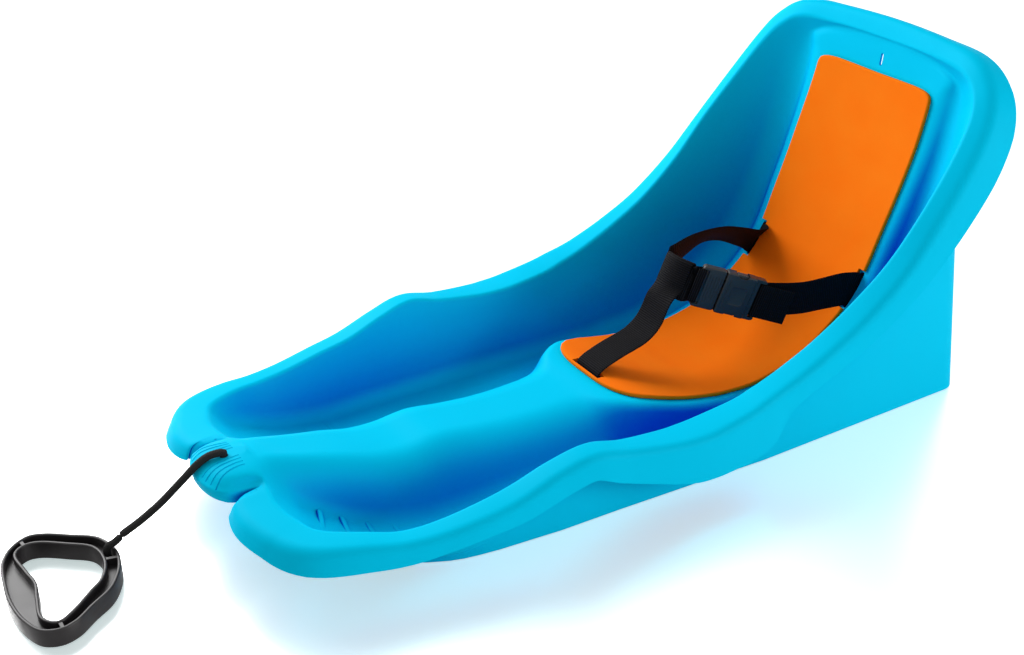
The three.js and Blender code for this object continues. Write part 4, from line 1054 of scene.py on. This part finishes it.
def arcs(corners, steps=6):
    """A closed outline whose corners, each (x, y, radius), are rounded."""
    out = []
    count = len(corners)
    for n in range(count):
        x, y, radius = corners[n]
        if radius <= 0:
            out.append((x, y))
            continue
        at = vec(x, y)
        before, after = (unit(vec(*corners[m % count][:2]) - at) for m in (n - 1, n + 1))
        half = math.acos(max(-1, min(1, before.dot(after)))) / 2
        reach = radius / math.tan(half)
        start, end = at + before * reach, at + after * reach
        for i in range(steps + 1):
            t = i / steps
            out.append(tuple(start * (1 - t) ** 2 + at * 2 * t * (1 - t) + end * t ** 2))
    return out


def oblong(x0, x1, half, round0, round1, steps=6):
    """An outline across the buckle from x0 to x1, with its corners rounded at either end."""
    return arcs([(x0, -half, round0), (x1, -half, round1), (x1, half, round1), (x0, half, round0)], steps)


def cross_bar(x):
    """The bar that the webbing goes round."""
    return cylinder_object("bar", BAR_RADIUS, 43, vec(x, 0, 0), vec(0, 1, 0))


def finish_buckle(thing, node, body):
    thing.data.transform(BUCKLE_MATRIX)
    dress(thing, black_plastic, 32)
    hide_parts(node)
    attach(thing, body)


def make_plug():
    body = plate("plug", oblong(-2, 24, BUCKLE_HALF, 4.5, 3.5), PLUG_HIGH, 0, 1.6, 5)
    boolean(body, plate("window", oblong(-8, 5.6, 20, 0, 1.5), 14))
    boolean(body, cross_bar(0), "UNION")
    boolean(body, plate("guide", oblong(22, 46, 3.5, 0.5, 1.5), 5, 0, 0.5), "UNION")
    for side in (1, -1):
        for n in range(5):
            x = 7.6 + n * 3.1
            boolean(body, plate("groove", oblong(x, x + 1.1, 15, 0.4, 0.4), 2, side * 4.6, 0.3, 2))
    finish_buckle(body, "buckle_plug", "sled")


def side_cut(name, side, points, thickness):
    """A cutter for the socket's side, from an outline drawn for its left."""
    return plate(name, arcs([(x, side * y, radius) for x, y, radius in points][::side]), thickness)


def make_socket():
    body = plate("socket", oblong(24.3, 57, BUCKLE_HALF, 2.2, 2.8), SOCKET_HIGH, 0, 2.2, 6)
    boolean(body, plate("rear", oblong(52, 68.5, BUCKLE_HALF, 1, 4.5), PLUG_HIGH, 0, 1.6, 5), "UNION")
    boolean(body, plate("cavity", oblong(0, 53, 21.5, 0.5, 0.5), 8.4))
    for side in (1, -1):
        press = [(34, 17.5, 1.2), (48.5, 17.5, 1.2), (48.5, 30, 0), (34, 30, 0)]
        boolean(body, side_cut("press", side, press, 8.4))
        scoop = [(35.6, 20.4, 3.5), (46.9, 20.4, 3.5), (49.5, 32, 0), (33, 32, 0)]
        boolean(body, side_cut("scoop", side, scoop, 16))
    boolean(body, plate("window", oblong(61, 74, 20, 1.5, 0), 16))
    boolean(body, cross_bar(SOCKET_BAR), "UNION")
    for side in (1, -1):
        boolean(body, plate("rim", oblong(28.5, 29.9, 15.5, 0.6, 0.6), 1.2, side * 6.2, 0.4, 2))
        boolean(body, plate("dish", oblong(33, 50, 10.5, 5, 5, 10), 1.1, side * 6.15, 0.5))
    finish_buckle(body, "buckle_socket", "sled")


PRONG_ROOT = (26.8, 15, 2.5)  # middle and radius of its round end
PRONG_TIP = [
    (32.2, 17.4), (33.4, 18.1), (34.2, 19.4), (35, 21.4), (35.8, 22.6), (36.8, 23.2), (46, 23.2),
    (47.2, 22.6), (47.8, 21.6), (48.1, 18.9), (48.7, 17.9), (50.1, 17.1), (50.5, 16.4), (50.1, 15.2),
    (49.2, 14.6), (45, 13.6), (36, 12.9),
]


def make_prongs():
    x, y, radius = PRONG_ROOT
    root = [(x + radius * math.cos(rad(a)), y + radius * math.sin(rad(a))) for a in range(270, 85, -15)]
    sides = ((1, "buckle_prong_left", "prong_left"), (-1, "buckle_prong_right", "prong_right"))
    for side, node, body in sides:
        outline = [(x, y * side) for x, y in root + PRONG_TIP]
        arm = plate("prong", outline[::side], 7.2, 0, 0.6)
        for n in range(5):
            at = vec(37.4 + n * 2.1, side * 23.45, 0)
            boolean(arm, cylinder_object("cut", 0.55, 10, at, vec(0, 0, 1), 16))
        finish_buckle(arm, node, body)


make_plug()
make_socket()
make_prongs()


# Handle: two thin walls with round rims, a web between them and a few cross ribs
HANDLE_HIGH, HANDLE_WALL, HANDLE_ROUND = 18, 3.2, 1.35
HANDLE_WEB = (7, 10)
HANDLE_OUTER = [
    [0.19, 0.09], [0.42, 0.02], [0.61, 0], [0.8, 0.03], [0.95, 0.12], [1, 0.26], [0.98, 0.41], [0.89, 0.59],
    [0.8, 0.78], [0.7, 0.89], [0.58, 0.97], [0.44, 1], [0.25, 0.92], [0.13, 0.72], [0.03, 0.53], [0, 0.39],
    [0.06, 0.22],
]
HANDLE_INNER = [
    [0.15, 0.24], [0.34, 0.25], [0.5, 0.275], [0.65, 0.23], [0.84, 0.195], [0.91, 0.28], [0.87, 0.4],
    [0.74, 0.62], [0.66, 0.75], [0.5, 0.845], [0.34, 0.82], [0.22, 0.64], [0.11, 0.43], [0.1, 0.33],
]
HANDLE_RIBS = [[0.05, 0.32, 10], [0.5, 0.92, 75], [0.96, 0.29, 0]]  # place and degrees


def on_handle(x, y):
    return vec(-77.5 + x * 141.5, y * 100.5 - 491.6)


def handle_loop(shares):
    return curve_points(np.array([on_handle(x, y) for x, y in shares]), 1.3, closed=True)[0][:-1]


def loop_sides(curve):
    way = np.roll(curve, -1, axis=0) - np.roll(curve, 1, axis=0)
    way /= np.linalg.norm(way, axis=1)[:, None]
    return np.stack([-way[:, 1], way[:, 0]], -1)


def swept(name, curve, profile):
    """A closed profile of (way in from the curve, height) taken round a closed curve."""
    inward = loop_sides(curve)
    points = [(*(curve[n] + inward[n] * d), z) for n in range(len(curve)) for d, z in profile]
    return face_outwards(make_object(name, points, ring_faces(len(curve), len(profile), closed=True)))


def wall_profile(sign):
    """The section of a wall with rounded corners. A sign of -1 puts it on the curve's other side."""
    near, far, top = HANDLE_ROUND, HANDLE_WALL - HANDLE_ROUND, HANDLE_HIGH - HANDLE_ROUND
    out = []
    for d, z, start in ((near, near, 180), (far, near, 270), (far, top, 0), (near, top, 90)):
        for i in range(5):
            turn = rad(start + i * 22.5)
            out.append((sign * (d + HANDLE_ROUND * math.cos(turn)), z + HANDLE_ROUND * math.sin(turn)))
    return out


def flat_band(name, outer, inner, inset, low, high):
    """A flat sheet between the handle's two walls, which goes some way into both."""
    outer, inner = outer + loop_sides(outer) * inset, inner - loop_sides(inner) * inset
    triangles = tessellate_polygon([[Vector((x, y, 0)) for x, y in loop] for loop in (outer, inner)])
    flat = [*outer, *inner]
    count = len(flat)
    points = [(x, y, z) for z in (low, high) for x, y in flat]
    faces = [tuple(t) for t in triangles] + [tuple(i + count for i in t)[::-1] for t in triangles]
    for start, size in ((0, len(outer)), (len(outer), len(inner))):
        for i in range(size):
            a, b = start + i, start + (i + 1) % size
            faces.append((a, b, b + count, a + count))
    return face_outwards(make_object(name, points, faces))


def make_handle():
    outer, inner = handle_loop(HANDLE_OUTER), handle_loop(HANDLE_INNER)
    handle = swept("handle", outer, wall_profile(1))
    boolean(handle, swept("inner_wall", inner, wall_profile(-1)), "UNION")
    boolean(handle, flat_band("web", outer, inner, 2, *HANDLE_WEB), "UNION")
    ribs = []
    for x, y, degrees in HANDLE_RIBS:
        spot = Matrix.Translation(Vector((*on_handle(x, y), HANDLE_HIGH / 2)) * MM)
        ribs.append(((34, 3, 17.2), spot @ Matrix.Rotation(rad(degrees), 4, "Z")))
    rib = boxes_object("ribs", ribs)
    boolean(rib, flat_band("inside", outer, inner, 2.2, 0.9, 17.1), "INTERSECT")
    boolean(handle, rib, "UNION")
    hole = cylinder_object("hole", 4, 40, vec(*HANDLE_HOLE, HANDLE_HIGH / 2), vec(0, 0, 1), 40)
    boolean(handle, hole)
    dress(handle, black_plastic, 35)
    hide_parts("pull_handle")
    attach(handle, "handle")


def make_stops():
    """The bars behind the shell, each with five shallow rings cut into it."""
    for node, (centre, way, _) in ANCHORS.items():
        bar = cylinder_object(node + "_bar", STOP_RADIUS, 52, centre, way, 40)
        bevel(bar, 0.7, 3, 50)
        for n in range(-2, 3):
            at = centre + unit(way) * (n * 11)
            ring = cylinder_object("ring", STOP_RADIUS + 0.4, 0.9, at, way, 40)
            boolean(ring, cylinder_object("core", STOP_RADIUS - 0.3, 2, at, way, 40))
            boolean(bar, ring)
        dress(bar, black_plastic, 35)
        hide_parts(node)
        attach(bar, "sled")


make_handle()
make_stops()


# Floor and light
FLOOR_HALF, FLOOR_LEVEL = 6000, -0.4
AMBIENT = 0.41


def make_floor():
    n = Nodes("floor")
    seen = n.node("ShaderNodeLightPath").outputs["Is Camera Ray"]
    white = n.set(
        Base_Color=(0.76, 0.76, 0.76, 1), Roughness=0.3, Metallic=0.7, Specular_IOR_Level=0.5,
        # The faint cyan of the camera-ray emission is painted reflection of the blue hull, seen where the
        # floor is in shade
        Emission_Color=(0.86, 1, 1, 1), Emission_Strength=n.math("MULTIPLY", seen, 0.56),
    )
    corners = [(x * FLOOR_HALF, y * FLOOR_HALF, FLOOR_LEVEL) for x, y in ((-1, -1), (1, -1), (1, 1), (-1, 1))]
    floor = make_object("floor", corners, [(0, 1, 2, 3)], white)


def make_world():
    """White for the camera and in reflections, and a weaker white as light."""
    world = bpy.context.scene.world or bpy.data.worlds.new("world")
    bpy.context.scene.world = world
    n = Nodes(world, "Background")
    path = n.node("ShaderNodeLightPath").outputs
    seen = n.math("MAXIMUM", path["Is Camera Ray"], path["Is Glossy Ray"])
    n.set(Color=(1, 1, 1, 1), Strength=n.range(seen, AMBIENT, 1))


def area_light(name, place_at, target, size, power):
    data = bpy.data.lights.new(name, "AREA")
    data.shape = "RECTANGLE"
    data.size, data.size_y = size
    data.energy = power
    way = Vector(target) - Vector(place_at)
    turn = way.to_track_quat("-Z", "Y").to_matrix().to_4x4()
    new_object(name, data).matrix_world = Matrix.Translation(Vector(place_at)) @ turn


make_floor()
make_world()
area_light("key", (-1.6, -0.5, 1.3), (0, 0.1, 0.1), (1.5, 1.5), 50)
area_light("side", (2.0, 1.5, 0.7), (0, 0.2, 0.15), (1.2, 0.9), 23)
bpy.context.scene.view_settings.view_transform = "Standard"
